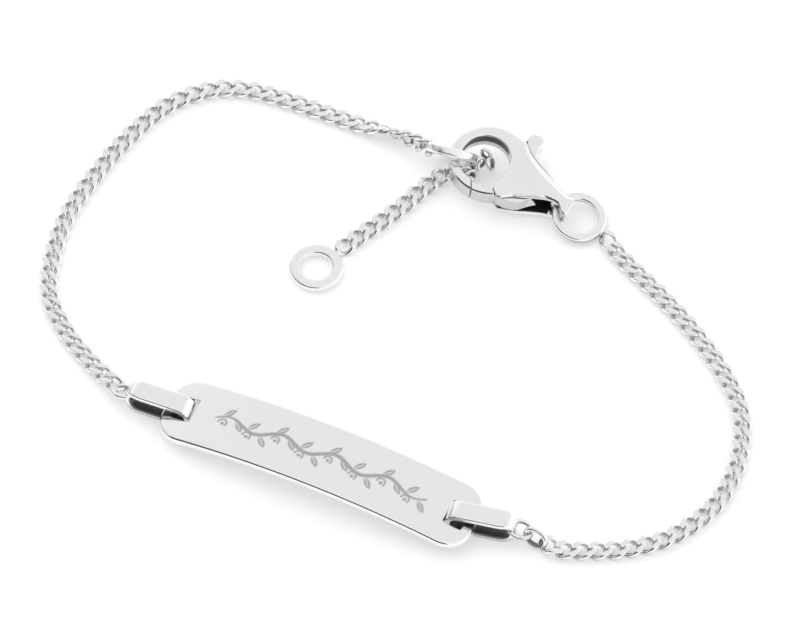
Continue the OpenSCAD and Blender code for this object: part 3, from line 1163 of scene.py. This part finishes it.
@dataclass(frozen=True)
class ClaspSizes:
    """Sizes that the clasp's body and lever share, in the clasp's own frame: X from tail to hook, Y to the
    gate's side, Z through the thickness."""

    hook_x: float = 7.9
    hook_r: float = 3.5
    hole_circles: tuple[Point, Point] = ((8.35, 0.0, 2.05), (8.3, 0.6, 2.0))
    hole_fillet: float = 0.3
    hole_corner: tuple[Span, ...] = (
        (6.42, -0.4), (8.3, -0.4), (8.3, 2.58), (7.6, 2.66), (6.8, 2.52), (6.17, 2.18))
    hole_corner_fillet: float = 0.1
    pivot: Span = (4.8, 1.2)
    pin_r: float = 0.35
    gate_in: float = 1.72
    gate_out: float = 3.6
    gate_from: float = 5.0
    half_tail: float = 1.05
    half_hook: float = 0.8
    thinning_run: Span = (1.5, 8.5)
    draft_slope: float = 0.34
    draft_start: Span = (0.2, 1.2)
    draft_end: Span = (5.8, 4.2)
    draft_side: Span = (-0.2, 0.5)
    # Painted shade on the steep walls on the gate's side: how dark, and where.
    steep_wall_shade: float = 0.33
    steep_run: Span = (0.6, 0.3)
    gate_facing: Span = (0.1, 0.5)
    above_cheek: Span = (-0.75, -0.6)
    middle: Point = (14.6, 10.2, 1.1)
    yaw: float = 146.0
    tilt: float = -5.5

    def level(self) -> Placement:
        """The clasp's place without its tilt, where its ring hangs."""
        return Placement(np.array(self.middle), turned(z=self.yaw))

    def place(self) -> Placement:
        """The clasp's place: tilted about its own Y and turned in plan."""
        return Placement(np.zeros(3), turned(y=self.tilt)).then(self.level())

    def half_thickness(self, x: np.ndarray) -> np.ndarray:
        """Half thickness of the casting, which thins evenly from the body to the hook."""
        return eased((self.half_tail, self.half_hook), self.thinning_run, x)

    def from_pivot(self, x: np.ndarray, y: np.ndarray) -> np.ndarray:
        """Distance from the lever's pivot in plan."""
        return np.hypot(x - self.pivot[0], y - self.pivot[1])

    def hook(self, x: np.ndarray, y: np.ndarray) -> np.ndarray:
        """Distance to the disc that holds the hook."""
        return np.hypot(x - self.hook_x, y) - self.hook_r

    def hole(self, x: np.ndarray, y: np.ndarray) -> np.ndarray:
        """Distance to the space inside the hook: two circles and a corner beside the gate's arm, blended.

        Args:
            x: places from tail to hook.
            y: places across.
        Returns:
            One distance for each place.
        """
        circles = either(*(np.hypot(x - cx, y - cy) - r for cx, cy, r in self.hole_circles), self.hole_fillet)
        corner = outline_distance(np.stack([x, y], axis=-1), self.hole_corner)
        return either(circles, corner, self.hole_corner_fillet)

    def draft(self, x: np.ndarray, y: np.ndarray, z: np.ndarray) -> np.ndarray:
        """How far the body's wall on the gate's side leans in, which grows evenly upward.

        Args:
            x: places from tail to hook.
            y: places across.
            z: heights.
        Returns:
            One distance for each place.
        """
        share = smooth_step(*self.draft_start, x) * smooth_step(*self.draft_end, x)
        share = share * smooth_step(*self.draft_side, y)
        return self.draft_slope * share * np.maximum(z + self.half_tail, 0.0)

    def painted_wall_shade(self, points: np.ndarray, normals: np.ndarray) -> np.ndarray:
        """How much painted shade falls on the steep walls on the gate's side, but for the lower cheek's.

        Args:
            points: places on the skin.
            normals: the way that the skin faces there.
        Returns:
            Values from 0 to 1.
        """
        steep = smooth_step(*self.steep_run, np.abs(normals[:, 2]))
        steep = steep * smooth_step(*self.gate_facing, normals[:, 1])
        return self.steep_wall_shade * steep * smooth_step(*self.above_cheek, points[:, 2])

    def gate(self, x: np.ndarray, y: np.ndarray, inset: float, side: float) -> np.ndarray:
        """Distance to the gate's space: between two radii about the pivot, past a side line.

        Args:
            x: places from tail to hook.
            y: places across.
            inset: how much narrower it is at both radii.
            side: the side line's place across.
        Returns:
            One distance for each place.
        """
        r = self.from_pivot(x, y)
        ring = np.maximum(self.gate_in + inset - r, r - self.gate_out + inset)
        return np.maximum(ring, np.maximum(self.gate_from - x, side - y))


@dataclass
class Carving(ABC):
    """A solid given by its signed distance, and cut out as a mesh by surface nets."""

    sizes: ClaspSizes
    low: Point
    high: Point
    cell: float = 0.055
    draws: int = 3
    draw_reach: float = 0.1
    normal_reach: float = 0.15
    least_slope: float = 0.2
    longest_draw: float = 0.5
    looks: tuple[float, ...] = (0.3, 0.6, 1.0)
    hollow_run: Span = (0.25, 0.9)

    @abstractmethod
    def plan(self, xy: np.ndarray) -> dict[str, np.ndarray]:
        """Distances that depend on the plan alone, by name."""

    @abstractmethod
    def distance(self, xyz: np.ndarray, plan: dict[str, np.ndarray]) -> np.ndarray:
        """Signed distance at points whose plan distances are known."""

    @abstractmethod
    def recess(self, points: np.ndarray, normals: np.ndarray) -> np.ndarray:
        """How much painted shade each point of the skin gets, from 0 to 1."""

    def _at(self, xyz: np.ndarray) -> np.ndarray:
        """Signed distance at loose points."""
        return self.distance(xyz, self.plan(xyz[:, :2]))

    def _slope(self, xyz: np.ndarray, reach: float) -> np.ndarray:
        """Gradient of the distance by central differences."""
        steps = np.eye(3) * reach
        return np.stack([self._at(xyz + s) - self._at(xyz - s) for s in steps], axis=-1) / (2 * reach)

    def _field(self) -> tuple[list[np.ndarray], np.ndarray]:
        """The distance on a grid of points around the solid.

        Returns:
            The grid's three axes, and the distances in three dimensions.
        """
        axes = [np.arange(lo, hi + self.cell, self.cell) for lo, hi in zip(self.low, self.high)]
        flat = np.stack(np.meshgrid(axes[0], axes[1], indexing="ij"), axis=-1).reshape(-1, 2)
        plan = {name: np.repeat(value, len(axes[2])) for name, value in self.plan(flat).items()}
        xyz = np.stack(np.meshgrid(*axes, indexing="ij"), axis=-1).reshape(-1, 3)
        return axes, self.distance(xyz, plan).reshape([len(axis) for axis in axes])

    def surface(self) -> Surface:
        """The solid's skin: one point in each cell that the skin crosses, drawn onto the skin, and one face
        for each grid edge that crosses it. A cell's point starts in the middle of the crossings on its edges.

        Returns:
            The closed surface with normals from the gradient of the distance.
        """
        axes, d = self._field()
        shape = np.array(d.shape) - 1
        total, hits = np.zeros((*shape, 3)), np.zeros(shape)
        crossings = []
        for axis in range(3):
            one, other = (axis + 1) % 3, (axis + 2) % 3
            last = d.shape[axis]
            first, second = np.take(d, range(last - 1), axis=axis), np.take(d, range(1, last), axis=axis)
            cross = (first < 0) != (second < 0)
            share = np.where(cross, first / np.where(cross, first - second, 1.0), 0.0)
            for p, q in ((0, 0), (0, 1), (1, 0), (1, 1)):
                cut = [slice(None)] * 3
                cut[one], cut[other] = slice(p, p + shape[one]), slice(q, q + shape[other])
                hit = cross[tuple(cut)]
                total[..., axis] += share[tuple(cut)]
                total[..., one] += hit * p
                total[..., other] += hit * q
                hits += hit
            crossings.append(cross)
        active = hits > 0
        number = np.cumsum(active.ravel()).reshape(active.shape) - 1
        corner = np.stack(np.meshgrid(*[axis[:-1] for axis in axes], indexing="ij"), axis=-1)
        points = self._drawn((corner + self.cell * total / np.maximum(hits, 1)[..., None])[active])
        quads = [self._quads(axis, cross, d < 0, number) for axis, cross in enumerate(crossings)]
        normals = unit(self._slope(points, self.cell * self.normal_reach))
        # Each point carries its painted shade as a named value.
        return Surface(points, np.concatenate(quads), {"recess": self.recess(points, normals)}, normals)

    @staticmethod
    def _quads(axis: int, cross: np.ndarray, inside: np.ndarray, number: np.ndarray) -> np.ndarray:
        """The face round each crossing edge of one axis, with its front away from the metal.

        Args:
            axis: the axis that the edges run along.
            cross: whether each edge crosses the skin.
            inside: whether each grid point is in the metal.
            number: the number of each cell's point.
        Returns:
            Faces by four corners.
        """
        sides = [(axis + 1) % 3, (axis + 2) % 3]
        at = np.argwhere(cross)
        at = at[np.all((at[:, sides] > 0) & (at[:, sides] < np.array(number.shape)[sides]), axis=1)]
        step_one, step_other = np.eye(3, dtype=int)[sides]
        around = [at - step_one - step_other, at - step_other, at, at - step_one]
        quad = np.stack([number[tuple(cell.T)] for cell in around], axis=-1)
        return np.where(inside[tuple(at.T)][:, None], quad, quad[:, ::-1])

    def _drawn(self, points: np.ndarray) -> np.ndarray:
        """Points moved onto the skin by steps down the distance, none over half a cell.

        Args:
            points: places near the skin.
        Returns:
            Places on it.
        """
        for _ in range(self.draws):
            slope = self._slope(points, self.cell * self.draw_reach)
            steepness = np.maximum(np.sum(slope ** 2, axis=1), self.least_slope)
            step = self._at(points)[:, None] * slope / steepness[:, None]
            size = np.linalg.norm(step, axis=1, keepdims=True)
            points = points - step * np.minimum(1, self.longest_draw * self.cell / np.maximum(size, TINY))
        return points

    def hollow(self, points: np.ndarray, normals: np.ndarray) -> np.ndarray:
        """How deep in a hollow each point lies, from 0 to 1: how soon a step outward meets metal again. It
        sets painted shade in the hollows.
        """
        seen = sum(np.clip(1 - self._at(points + normals * reach) / reach, 0, 1) for reach in self.looks)
        return smooth_step(*self.hollow_run, seen / len(self.looks))


@dataclass
class ClaspBody(Carving):
    """The clasp's casting: hook, body with the lever's channel, tail with its eye, and the lever's pin."""

    low: Point = (-0.7, -4.0, -1.3)
    high: Point = (11.8, 4.0, 1.3)
    outline: tuple[Span, ...] = (
        (-0.15, -0.6), (0.6, -0.86), (1.9, -1.25), (3.5, -1.85), (5.2, -2.6), (6.6, -3.2), (7.6, -1.5),
        (6.5, 0.0), (6.6, 1.6), (6.2, 2.5), (5.4, 2.9), (4.7, 2.8), (3.8, 2.38), (2.8, 1.75), (1.6, 1.08),
        (0.5, 0.84), (-0.2, 0.9))
    outline_steps: int = 6
    edge_run: Span = (-1.5, 0.8)
    edge_sizes: Span = (0.7, 0.12)
    edge_falls: Span = (0.45, 1.0)
    hook_fillet: float = 0.8
    hook_run: Span = (5.5, 7.0)
    hook_side: Span = (1.0, -0.5)
    hook_round: float = 0.7
    channel: tuple[Span, ...] = (
        (1.5, 4.2), (1.5, 0.3), (2.6, -0.4), (2.6, -4.4), (6.7, -4.4), (6.1, -1.2), (6.3, -0.6), (7.5, -0.4),
        (7.5, 4.2))
    channel_half: float = 0.67
    channel_edge: float = 0.04
    eye_x: float = 1.0
    eye_r: float = 0.52
    eye_reach: float = 0.4
    eye_edge: float = 0.12
    tail_run: Span = (-0.2, 0.9)
    tail_edge: float = 0.1
    tail_r: float = 1.2
    tail_z: float = 0.2
    tail_flatness: float = 0.85
    tail_under_edge: float = 0.08
    hole_edge: float = 0.12
    gate_side: float = 0.9
    gate_edge: float = 0.05
    pin_inset: float = 0.1
    # Painted shade: in the hollows, on the hole's front-facing wall, in the seam beside the gate and in the
    # channel.
    hollow_shade: float = 0.76
    front: Point = (-0.559, 0.829, 0.0)
    hole_wall: Span = (0.15, 0.06)
    front_facing: Span = (0.15, 0.55)
    wall_foot: Span = (1.05, 0.8)
    wall_head: Span = (0.12, 0.2)
    seam_shades: Span = (0.25, 0.6)
    seam_run: Span = (6.6, 7.0)
    seam_width: Span = (0.08, 0.04)
    channel_wall: Span = (0.1, 0.02)
    off_gate: Span = (0.5, 0.2)

    def __post_init__(self) -> None:
        """Smooths the outline."""
        self.curve = smooth_outline(self.outline, self.outline_steps)

    def plan(self, xy: np.ndarray) -> dict[str, np.ndarray]:
        """Distances in plan.

        Args:
            xy: places by 2.
        Returns:
            Distances to the outline with the hook, to the hole, the gate's space, the channel and the pin.
        """
        s = self.sizes
        x, y = xy.T
        return {
            "outer": either(outline_distance(xy, self.curve), s.hook(x, y), self.hook_fillet),
            "hole": s.hole(x, y),
            "gate": s.gate(x, y, 0.0, self.gate_side),
            "channel": outline_distance(xy, self.channel),
            "pin": s.from_pivot(x, y) - s.pin_r}

    def distance(self, xyz: np.ndarray, plan: dict[str, np.ndarray]) -> np.ndarray:
        """The casting: the outline with bevels along the body and round edges on the hook, and its wall on
        the gate's side leaning in, less the hole, the gate, the channel, the eye and a curve under the tail.
        The bevels are broad and gentle along the spine, and crisp on the gate's side.

        Args:
            xyz: places by 3.
            plan: the distances in plan at the same places.
        Returns:
            One distance for each place.
        """
        x, y, z = xyz.T
        flat = np.abs(z) - self.sizes.half_thickness(x)
        size = eased(self.edge_sizes, self.edge_run, y)
        size = self.tail_edge + (size - self.tail_edge) * smooth_step(*self.tail_run, x)
        outer = plan["outer"] + self.sizes.draft(x, y, z)
        hook = smooth_step(*self.hook_run, x) * smooth_step(*self.hook_side, y)
        bevel = bevelled(outer, flat, size, eased(self.edge_falls, self.edge_run, y))
        d = both(outer, flat, self.hook_round * size) * hook + bevel * (1 - hook)
        under = np.hypot(x - self.eye_x, self.tail_flatness * (z - self.tail_z)) - self.tail_r
        d = both(d, np.where((x < self.eye_x) & (z < self.tail_z), under, -1.0), self.tail_under_edge)
        d = both(d, -plan["hole"], self.hole_edge)
        d = both(d, -plan["gate"], self.gate_edge)
        d = both(d, -np.maximum(plan["channel"], np.abs(z) - self.channel_half), self.channel_edge)
        slide = np.clip(x, self.eye_x - self.eye_reach, self.eye_x)
        d = both(d, self.eye_r - np.hypot(x - slide, z), self.eye_edge)
        return np.minimum(d, np.maximum(plan["pin"], flat + self.pin_inset))

    def recess(self, points: np.ndarray, normals: np.ndarray) -> np.ndarray:
        """Painted shade in the hollows, on the steep walls, in the seam beside the gate, in the channel, and
        on the upper part of the hole's wall that faces the front of the bracelet.

        Args:
            points: places on the skin.
            normals: the way that the skin faces there.
        Returns:
            Values from 0 to 1.
        """
        x, y, z = points.T
        below = self.sizes.half_thickness(x) - z
        wall = smooth_step(*self.hole_wall, np.abs(self.sizes.hole(x, y)))
        wall *= smooth_step(*self.front_facing, normals @ np.array(self.front))
        wall *= smooth_step(*self.wall_foot, below) * smooth_step(*self.wall_head, below)
        gate = self.sizes.gate(x, y, 0.0, self.gate_side)
        seam = eased(self.seam_shades, self.seam_run, x) * smooth_step(*self.seam_width, np.abs(gate))
        channel = np.maximum(outline_distance(points[:, :2], self.channel), np.abs(z) - self.channel_half)
        deep = smooth_step(*self.channel_wall, np.abs(channel)) * smooth_step(*self.off_gate, normals[:, 1])
        # All of these are painted shade, added together.
        tone = self.hollow_shade * self.hollow(points, normals) + self.sizes.painted_wall_shade(points, normals)
        return np.clip(tone + wall + seam + deep, 0, 1)

    def build(self, finishes: Finishes) -> bpy.types.Object:
        """Puts the casting in its place."""
        made = self.surface().moved(self.sizes.place())
        return put_in("clasp_casting", made, finishes.clasp, BRACELET, "clasp_body")


@dataclass
class ClaspLever(Carving):
    """The clasp's lever: a hub on the pin, a shoulder, a thumb nub past the spine, and the gate arm."""

    low: Point = (1.8, -4.9, -1.0)
    high: Point = (8.9, 4.0, 1.0)
    shoulder: tuple[Span, ...] = (
        (4.8, 0.1), (2.1, 0.8), (2.1, 1.2), (3.9, 2.42), (4.7, 2.8), (5.5, 2.82), (6.2, 2.4), (6.5, 1.6))
    shoulder_r: float = 2.7
    root: tuple[Span, ...] = ((4.8, 0.6), (7.0, 1.6), (6.4, 3.0), (4.5, 2.25))
    hub_r: float = 1.1
    nub: Span = (5.9, -3.85)
    nub_r: float = 0.75
    half_nub: float = 0.65
    nub_edge: float = 0.2
    nub_fillet: float = 0.15
    strut_halves: Span = (0.7, 0.5)
    lows: Span = (-0.05, -0.56)
    low_run: Span = (2.4, 3.9)
    inner_high: float = 0.62
    inner_edge: float = 0.06
    off_hub: Span = (1.17, 1.67)
    hole_play: float = 0.02
    pin_play: float = 0.07
    seam: float = 0.05
    gate_side: float = 2.0
    gate_bevel: float = 0.12
    gate_end_edge: float = 0.03
    gate_fillet: float = 0.05

    def plan(self, xy: np.ndarray) -> dict[str, np.ndarray]:
        """Distances in plan.

        Args:
            xy: places by 2.
        Returns:
            Distances to the hub with its shoulder and strut, the hook's rim, the gate's space and the nub,
            and the distance from the pivot.
        """
        s = self.sizes
        x, y = xy.T
        r = s.from_pivot(x, y)
        clear = self.hole_play - s.hole(x, y)
        shoulder = np.maximum(np.maximum(outline_distance(xy, self.shoulder), r - self.shoulder_r), clear)
        arm = np.array(self.nub) - s.pivot
        share = np.clip((xy - s.pivot) @ arm / (arm @ arm), 0, 1)
        half = self.strut_halves[0] + (self.strut_halves[1] - self.strut_halves[0]) * share
        strut = np.linalg.norm(xy - s.pivot - share[:, None] * arm, axis=1) - half
        rim = np.maximum(s.hook(x, y), clear)
        root = np.maximum(outline_distance(xy, self.root), rim)
        return {
            "hub": np.minimum(np.minimum(r - self.hub_r, shoulder), np.minimum(strut, root)),
            "rim": rim,
            "gate": s.gate(x, y, self.seam, self.gate_side),
            "nub": np.hypot(x - self.nub[0], y - self.nub[1]) - self.nub_r,
            "r": r}

    def distance(self, xyz: np.ndarray, plan: dict[str, np.ndarray]) -> np.ndarray:
        """The lever: flat inner parts, the thicker gate arm, and the nub with a soft rim, less the bore.

        Args:
            xyz: places by 3.
            plan: the distances in plan at the same places.
        Returns:
            One distance for each place.
        """
        x, y, z = xyz.T
        inner = np.maximum(z - self.inner_high, eased(self.lows, self.low_run, x) - z)
        lean = self.sizes.draft(x, y, z) * smooth_step(*self.off_hub, plan["r"])
        d = both(plan["hub"] + lean, inner, self.inner_edge)
        d = either(d, both(plan["nub"], np.abs(z) - self.half_nub, self.nub_edge), self.nub_fillet)
        gate = bevelled(plan["rim"], np.abs(z) - self.sizes.half_thickness(x), self.gate_bevel)
        d = either(d, both(gate, plan["gate"], self.gate_end_edge), self.gate_fillet)
        return np.maximum(d, self.sizes.pin_r + self.pin_play - plan["r"])

    def recess(self, points: np.ndarray, normals: np.ndarray) -> np.ndarray:
        """Painted shade in the hollows and on the steep walls."""
        return np.clip(self.hollow(points, normals) + self.sizes.painted_wall_shade(points, normals), 0, 1)

    def build(self, finishes: Finishes) -> bpy.types.Object:
        """Puts the lever on its pin."""
        made = self.surface().moved(self.sizes.place())
        return put_in("clasp_thumb_lever", made, finishes.clasp, LEVER, "clasp_lever")


@dataclass(frozen=True)
class Studio:
    """A pale floor, a soft sky and one broad lamp, seen from the angle of the picture."""

    elevation: float = 56.0
    distance: float = 750.0
    target: Point = (0.5, 0.0, 0.0)
    lens: float = 405.0
    sensor: float = 36.0
    clip_metres: Span = (0.01, 50.0)
    floor_half: float = 3000.0
    floor_lines: int = 9
    floor_drop: float = 0.005
    floor_grey: float = 0.5
    floor_roughness: float = 0.95
    floor_glow: float = 0.42
    lamp_place: Point = (-420.0, 380.0, 620.0)
    lamp_size: float = 1000.0
    lamp_power: float = 4.0
    sky_levels: tuple[Span, ...] = (
        (0.0, 0.95), (0.10, 1.05), (0.20, 1.03), (0.26, 0.87), (0.31, 0.85), (0.45, 0.86), (0.60, 0.92),
        (0.80, 1.0), (1.0, 1.05))
    side_run: Span = (-0.4, 0.4)
    side_levels: Span = (0.72, 1.08)
    side_edge: Span = (0.5, 0.85)
    card_azimuth: float = -126.0
    card_half: float = 46.0
    card_half_soft: float = 6.0
    card_low: float = 0.04
    card_high: float = 0.70
    card_soft: float = 0.06
    card_level: float = 0.05
    left_card: float = 0.8
    left_run: Span = (-0.85, -0.5)
    left_head: Span = (0.12, 0.35)
    fill: float = 1.35

    def camera(self) -> None:
        """Makes the camera: level, square to the front, and looking down at the elevation."""
        data = bpy.data.cameras.new("camera")
        data.sensor_width = self.sensor
        data.lens = self.lens
        data.clip_start, data.clip_end = self.clip_metres
        camera = bpy.data.objects.new("camera", data)
        tilt = math.radians(self.elevation)
        back = Vector((0.0, -math.cos(tilt), math.sin(tilt))) * self.distance
        camera.location = (Vector(self.target) + back) * MM
        camera.rotation_euler = (math.pi / 2 - tilt, 0.0, 0.0)
        bpy.context.scene.collection.objects.link(camera)
        bpy.context.scene.camera = camera

    def floor(self) -> None:
        """Makes the floor: a flat grid just under the bracelet."""
        side = np.linspace(-self.floor_half, self.floor_half, self.floor_lines)
        x, y = np.meshgrid(side, side, indexing="ij")
        sheet = grid_surface(np.stack([x, y, 0 * x - self.floor_drop], axis=-1))
        mesh = mesh_of("floor", sheet.facing(np.array([0.0, 0.0, 1.0])))
        paper = bpy.data.materials.new("pale paper")
        paper.use_nodes = True
        shader = paper.node_tree.nodes["Principled BSDF"].inputs
        shader["Base Color"].default_value = grey(self.floor_grey)
        shader["Emission Color"].default_value = grey(1.0)
        shader["Emission Strength"].default_value = self.floor_glow
        shader["Roughness"].default_value = self.floor_roughness
        shader["Specular IOR Level"].default_value = 0.0
        mesh.materials.append(paper)
        floor = bpy.data.objects.new("floor", mesh)
        bpy.context.scene.collection.objects.link(floor)

    def sky(self) -> None:
        """Makes the sky: white cards all round, a greyer one high behind the bracelet, a dark one in front of
        it on the left, and a fainter one low at its left side."""
        world = bpy.data.worlds.new("studio sky")
        bpy.context.scene.world = world
        world.use_nodes = True
        world.node_tree.nodes.clear()
        nodes = Nodes(world.node_tree)
        way = nodes.add("ShaderNodeTexCoord").outputs["Generated"]
        part = nodes.add("ShaderNodeSeparateXYZ", Vector=way).outputs
        light = self._light_cards(nodes, part)
        dark = nodes.mixed(self._dark_cards(nodes, part), light, grey(self.card_level))
        path = nodes.add("ShaderNodeLightPath").outputs
        fill = nodes.math("ADD", nodes.math("MULTIPLY", path["Is Diffuse Ray"], self.fill - 1.0), 1.0)
        lit = nodes.add("ShaderNodeBackground", Color=dark, Strength=fill).outputs[0]
        plain = nodes.add("ShaderNodeBackground", Color=grey(1.0), Strength=1.0).outputs[0]
        shown = nodes.by_number("ShaderNodeMixShader", {}, {0: path["Is Camera Ray"], 1: lit, 2: plain})
        nodes.add("ShaderNodeOutputWorld", Surface=shown.outputs[0])

    def _light_cards(self, nodes: Nodes, part: bpy.types.bpy_prop_collection) -> bpy.types.NodeSocket:
        """The sky without its dark cards: levels by the turn about X, and others far to the sides.

        Args:
            nodes: the sky's node adder.
            part: the direction's three parts.
        Returns:
            The colour.
        """
        swing = nodes.math("ARCTAN2", part["Z"], part["Y"])
        ramp = nodes.add("ShaderNodeValToRGB", Fac=nodes.math("DIVIDE", swing, math.pi))
        elements = ramp.color_ramp.elements
        elements[0].position, elements[1].position = self.sky_levels[0][0], self.sky_levels[-1][0]
        for place, _ in self.sky_levels[1:-1]:
            elements.new(place)
        for element, (_, level) in zip(elements, self.sky_levels):
            element.color = grey(level)
        left_right = nodes.fade(part["X"], self.side_run, self.side_levels)
        edge = nodes.fade(nodes.math("ABSOLUTE", part["X"]), self.side_edge)
        return nodes.mixed(edge, ramp.outputs["Color"], left_right)

    def _dark_cards(self, nodes: Nodes, part: bpy.types.bpy_prop_collection) -> bpy.types.NodeSocket:
        """How much of each direction the dark cards cover.

        Args:
            nodes: the sky's node adder.
            part: the direction's three parts.
        Returns:
            Zero off the cards and one on them, or less on the left one.
        """
        azimuth = nodes.math("ARCTAN2", part["Y"], part["X"])
        off = nodes.math("ABSOLUTE", nodes.math("SUBTRACT", azimuth, math.radians(self.card_azimuth)))
        half, soft = self.card_half, self.card_half_soft
        aside = nodes.fade(off, (math.radians(half - soft), math.radians(half + soft)), FALL)
        low, high, soft = self.card_low, self.card_high, self.card_soft
        foot = nodes.fade(part["Z"], (low - soft, low + soft))
        head = nodes.fade(part["Z"], (high - soft, high + soft), FALL)
        front = nodes.math("MULTIPLY", nodes.math("MULTIPLY", foot, head), aside)
        left = nodes.math("MULTIPLY", nodes.fade(part["X"], self.left_run, (self.left_card, 0.0)),
                          nodes.fade(part["Z"], self.left_head, FALL))
        return nodes.math("MAXIMUM", front, left)

    def lamp(self) -> None:
        """Makes the broad lamp, high on the far left."""
        data = bpy.data.lights.new("soft lamp", "AREA")
        data.shape = "DISK"
        data.size = self.lamp_size * MM
        data.energy = self.lamp_power
        lamp = bpy.data.objects.new("soft lamp", data)
        lamp.visible_glossy = False
        lamp.location = Vector(self.lamp_place) * MM
        lamp.rotation_euler = (-Vector(self.lamp_place)).to_track_quat("-Z", "Y").to_euler()
        bpy.context.scene.collection.objects.link(lamp)

    def build(self) -> None:
        """Makes the whole studio."""
        bpy.context.scene.view_settings.view_transform = "Standard"
        self.camera()
        self.floor()
        self.sky()
        self.lamp()


# Rows of the routes: x, y, height, and the turn of the chain's flat about its run.
LEFT_ROUTE = [
    (2.65, 16.25, 2.05, 90), (1.6, 17.35, 1.4, 88), (0.6, 18.05, 0.98, 80), (-0.4, 18.55, 0.95, 58),
    (-1.5, 19.0, 0.75, 22), (-3.0, 19.6, 0.50, 2), (-6.3, 21.0, 0.45, 0), (-9.7, 22.4, 0.45, 0),
    (-13.0, 23.3, 0.45, 0), (-16.0, 23.1, 0.45, 0), (-19.4, 21.5, 0.45, 0), (-22.5, 18.3, 0.45, 0),
    (-25.1, 14.6, 0.45, 0), (-27.4, 10.4, 0.45, 0), (-28.6, 6.0, 0.45, 0), (-28.7, 2.0, 0.45, 0),
    (-27.1, -1.8, 0.45, 0), (-24.9, -4.9, 0.57, 2), (-23.8, -6.3, 0.82, 14), (-22.42, -7.917, 1.2, 26)]
RIGHT_ROUTE = [
    (17.6, 8.2, 0.6, 0), (19.0, 6.0, 0.48, 0), (21.7, 2.8, 0.45, 0), (24.4, -0.7, 0.45, 0),
    (26.8, -4.6, 0.45, 0), (28.5, -8.6, 0.45, 0), (28.7, -12.2, 0.45, 0), (27.9, -15.7, 0.45, 0),
    (26.0, -19.0, 0.45, 0), (22.7, -21.7, 0.45, 0), (19.0, -22.9, 0.45, 0), (15.6, -23.1, 0.47, 0),
    (13.4, -23.0, 0.62, 3), (12.0, -22.3, 0.86, 20), (10.386, -21.515, 1.2, 40)]
EXTENSION_ROUTE = [
    (-4.65, 6.7, 0.45, 0), (-2.3, 8.7, 0.45, 0), (0.3, 10.9, 0.45, 0), (2.2, 12.8, 0.46, 0),
    (3.8, 14.1, 0.48, 0), (5.2, 14.7, 0.50, 0), (6.2, 14.5, 0.54, 0)]

# Loose links by the hook: middle, yaw, pitch, roll.
LOOSE_LINKS = [
    ((7.75, 15.45, 2.05), -35, 0, 68), ((7.28, 14.9, 1.65), 40, 10, 60), ((6.78, 14.5, 1.3), -20, 20, 35),
    ((6.5, 14.05, 1.1), 20, 10, 70), ((6.27, 14.13, 0.95), 60, 25, 60), ((6.23, 13.65, 0.8), -30, 10, 35),
    ((6.4, 14.7, 1.25), 60, 15, 40), ((6.85, 14.95, 1.45), -50, 15, 30), ((6.0, 14.3, 1.35), 10, 5, 75)]


def chains() -> list[Chain]:
    """The three stretches of chain, each with the oval links at its ends.

    Returns:
        The left, right and extension chains.
    """
    left_end = EndLink(LEFT_ROUTE[-1][:3], 158.5, -8, 12, OvalLink(0.86, 0.66, 0.42))
    right_ends = [EndLink(RIGHT_ROUTE[-1][:3], -14, -8, 12), EndLink((11.6, -22.25, 1.1), -33, -10, 68)]
    # The small loose links by the hook are almost wholly covered in painted shade.
    tiny = OvalLink(0.42, 0.34, 0.28, inside_shade=0.9, under_shade=1.0)
    loose = [EndLink((8.11, 14.88, 1.5), 84, 0, 66, OvalLink(0.62, 0.46, 0.36))]
    loose += [EndLink(*row, tiny) for row in LOOSE_LINKS]
    return [Chain("left_chain", LEFT_ROUTE, start=0.0, stop=1.15, end_links=[left_end]),
            Chain("right_chain", RIGHT_ROUTE, start=0.9, stop=2.9, end_links=right_ends),
            Chain("extension_chain", EXTENSION_ROUTE, start=0.9, stop=0.9, end_links=loose)]


def rings(sizes: ClaspSizes) -> list[Ring]:
    """The three rings in their places: a wire ring tilted in the hook, one in the clasp's tail eye, and the
    flat one on the extension's free end.

    Args:
        sizes: the clasp's sizes.
    Returns:
        The hook, clasp and end rings.
    """
    in_hook = Placement(np.array([4.85, 15.55, 2.085]), turned(-57.3, 0.0, -17.7))
    in_eye = Placement(np.array([-0.96, -0.25, -0.3]), turned(y=-11.0)).then(sizes.level())
    flat = Placement(np.array([-6.5, 5.0, 0.375]))
    # Each ring's painted shade underneath is set here: slight on the hook's ring, none on the flat end ring.
    return [Ring("hook_ring_wire", "hook_ring", 4.6, 0.8, 0.8, in_hook, under_shade=0.15),
            Ring("clasp_ring_wire", "clasp_ring", 4.7, 0.78, 0.58, in_eye),
            Ring("end_ring_band", "end_ring", 4.55, 0.945, 0.75, flat, edge=0.26, under_shade=0.0, around=144)]


def main() -> None:
    """Builds the studio and every piece of the bracelet, in order."""
    logging.basicConfig(level=logging.INFO, format="%(name)s: %(message)s")
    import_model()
    Studio().build()
    finishes = Finishes.made()
    plate = Plate()
    sizes = ClaspSizes()
    pieces = [plate, Connector("left_connector", grip=-12.0, yaw=158.5, plate=plate),
              Connector("right_connector", grip=11.7, yaw=-14.0, plate=plate), *chains(), *rings(sizes),
              ClaspBody(sizes), ClaspLever(sizes)]
    for piece in pieces:
        piece.build(finishes)


if __name__ == "__main__":
    main()
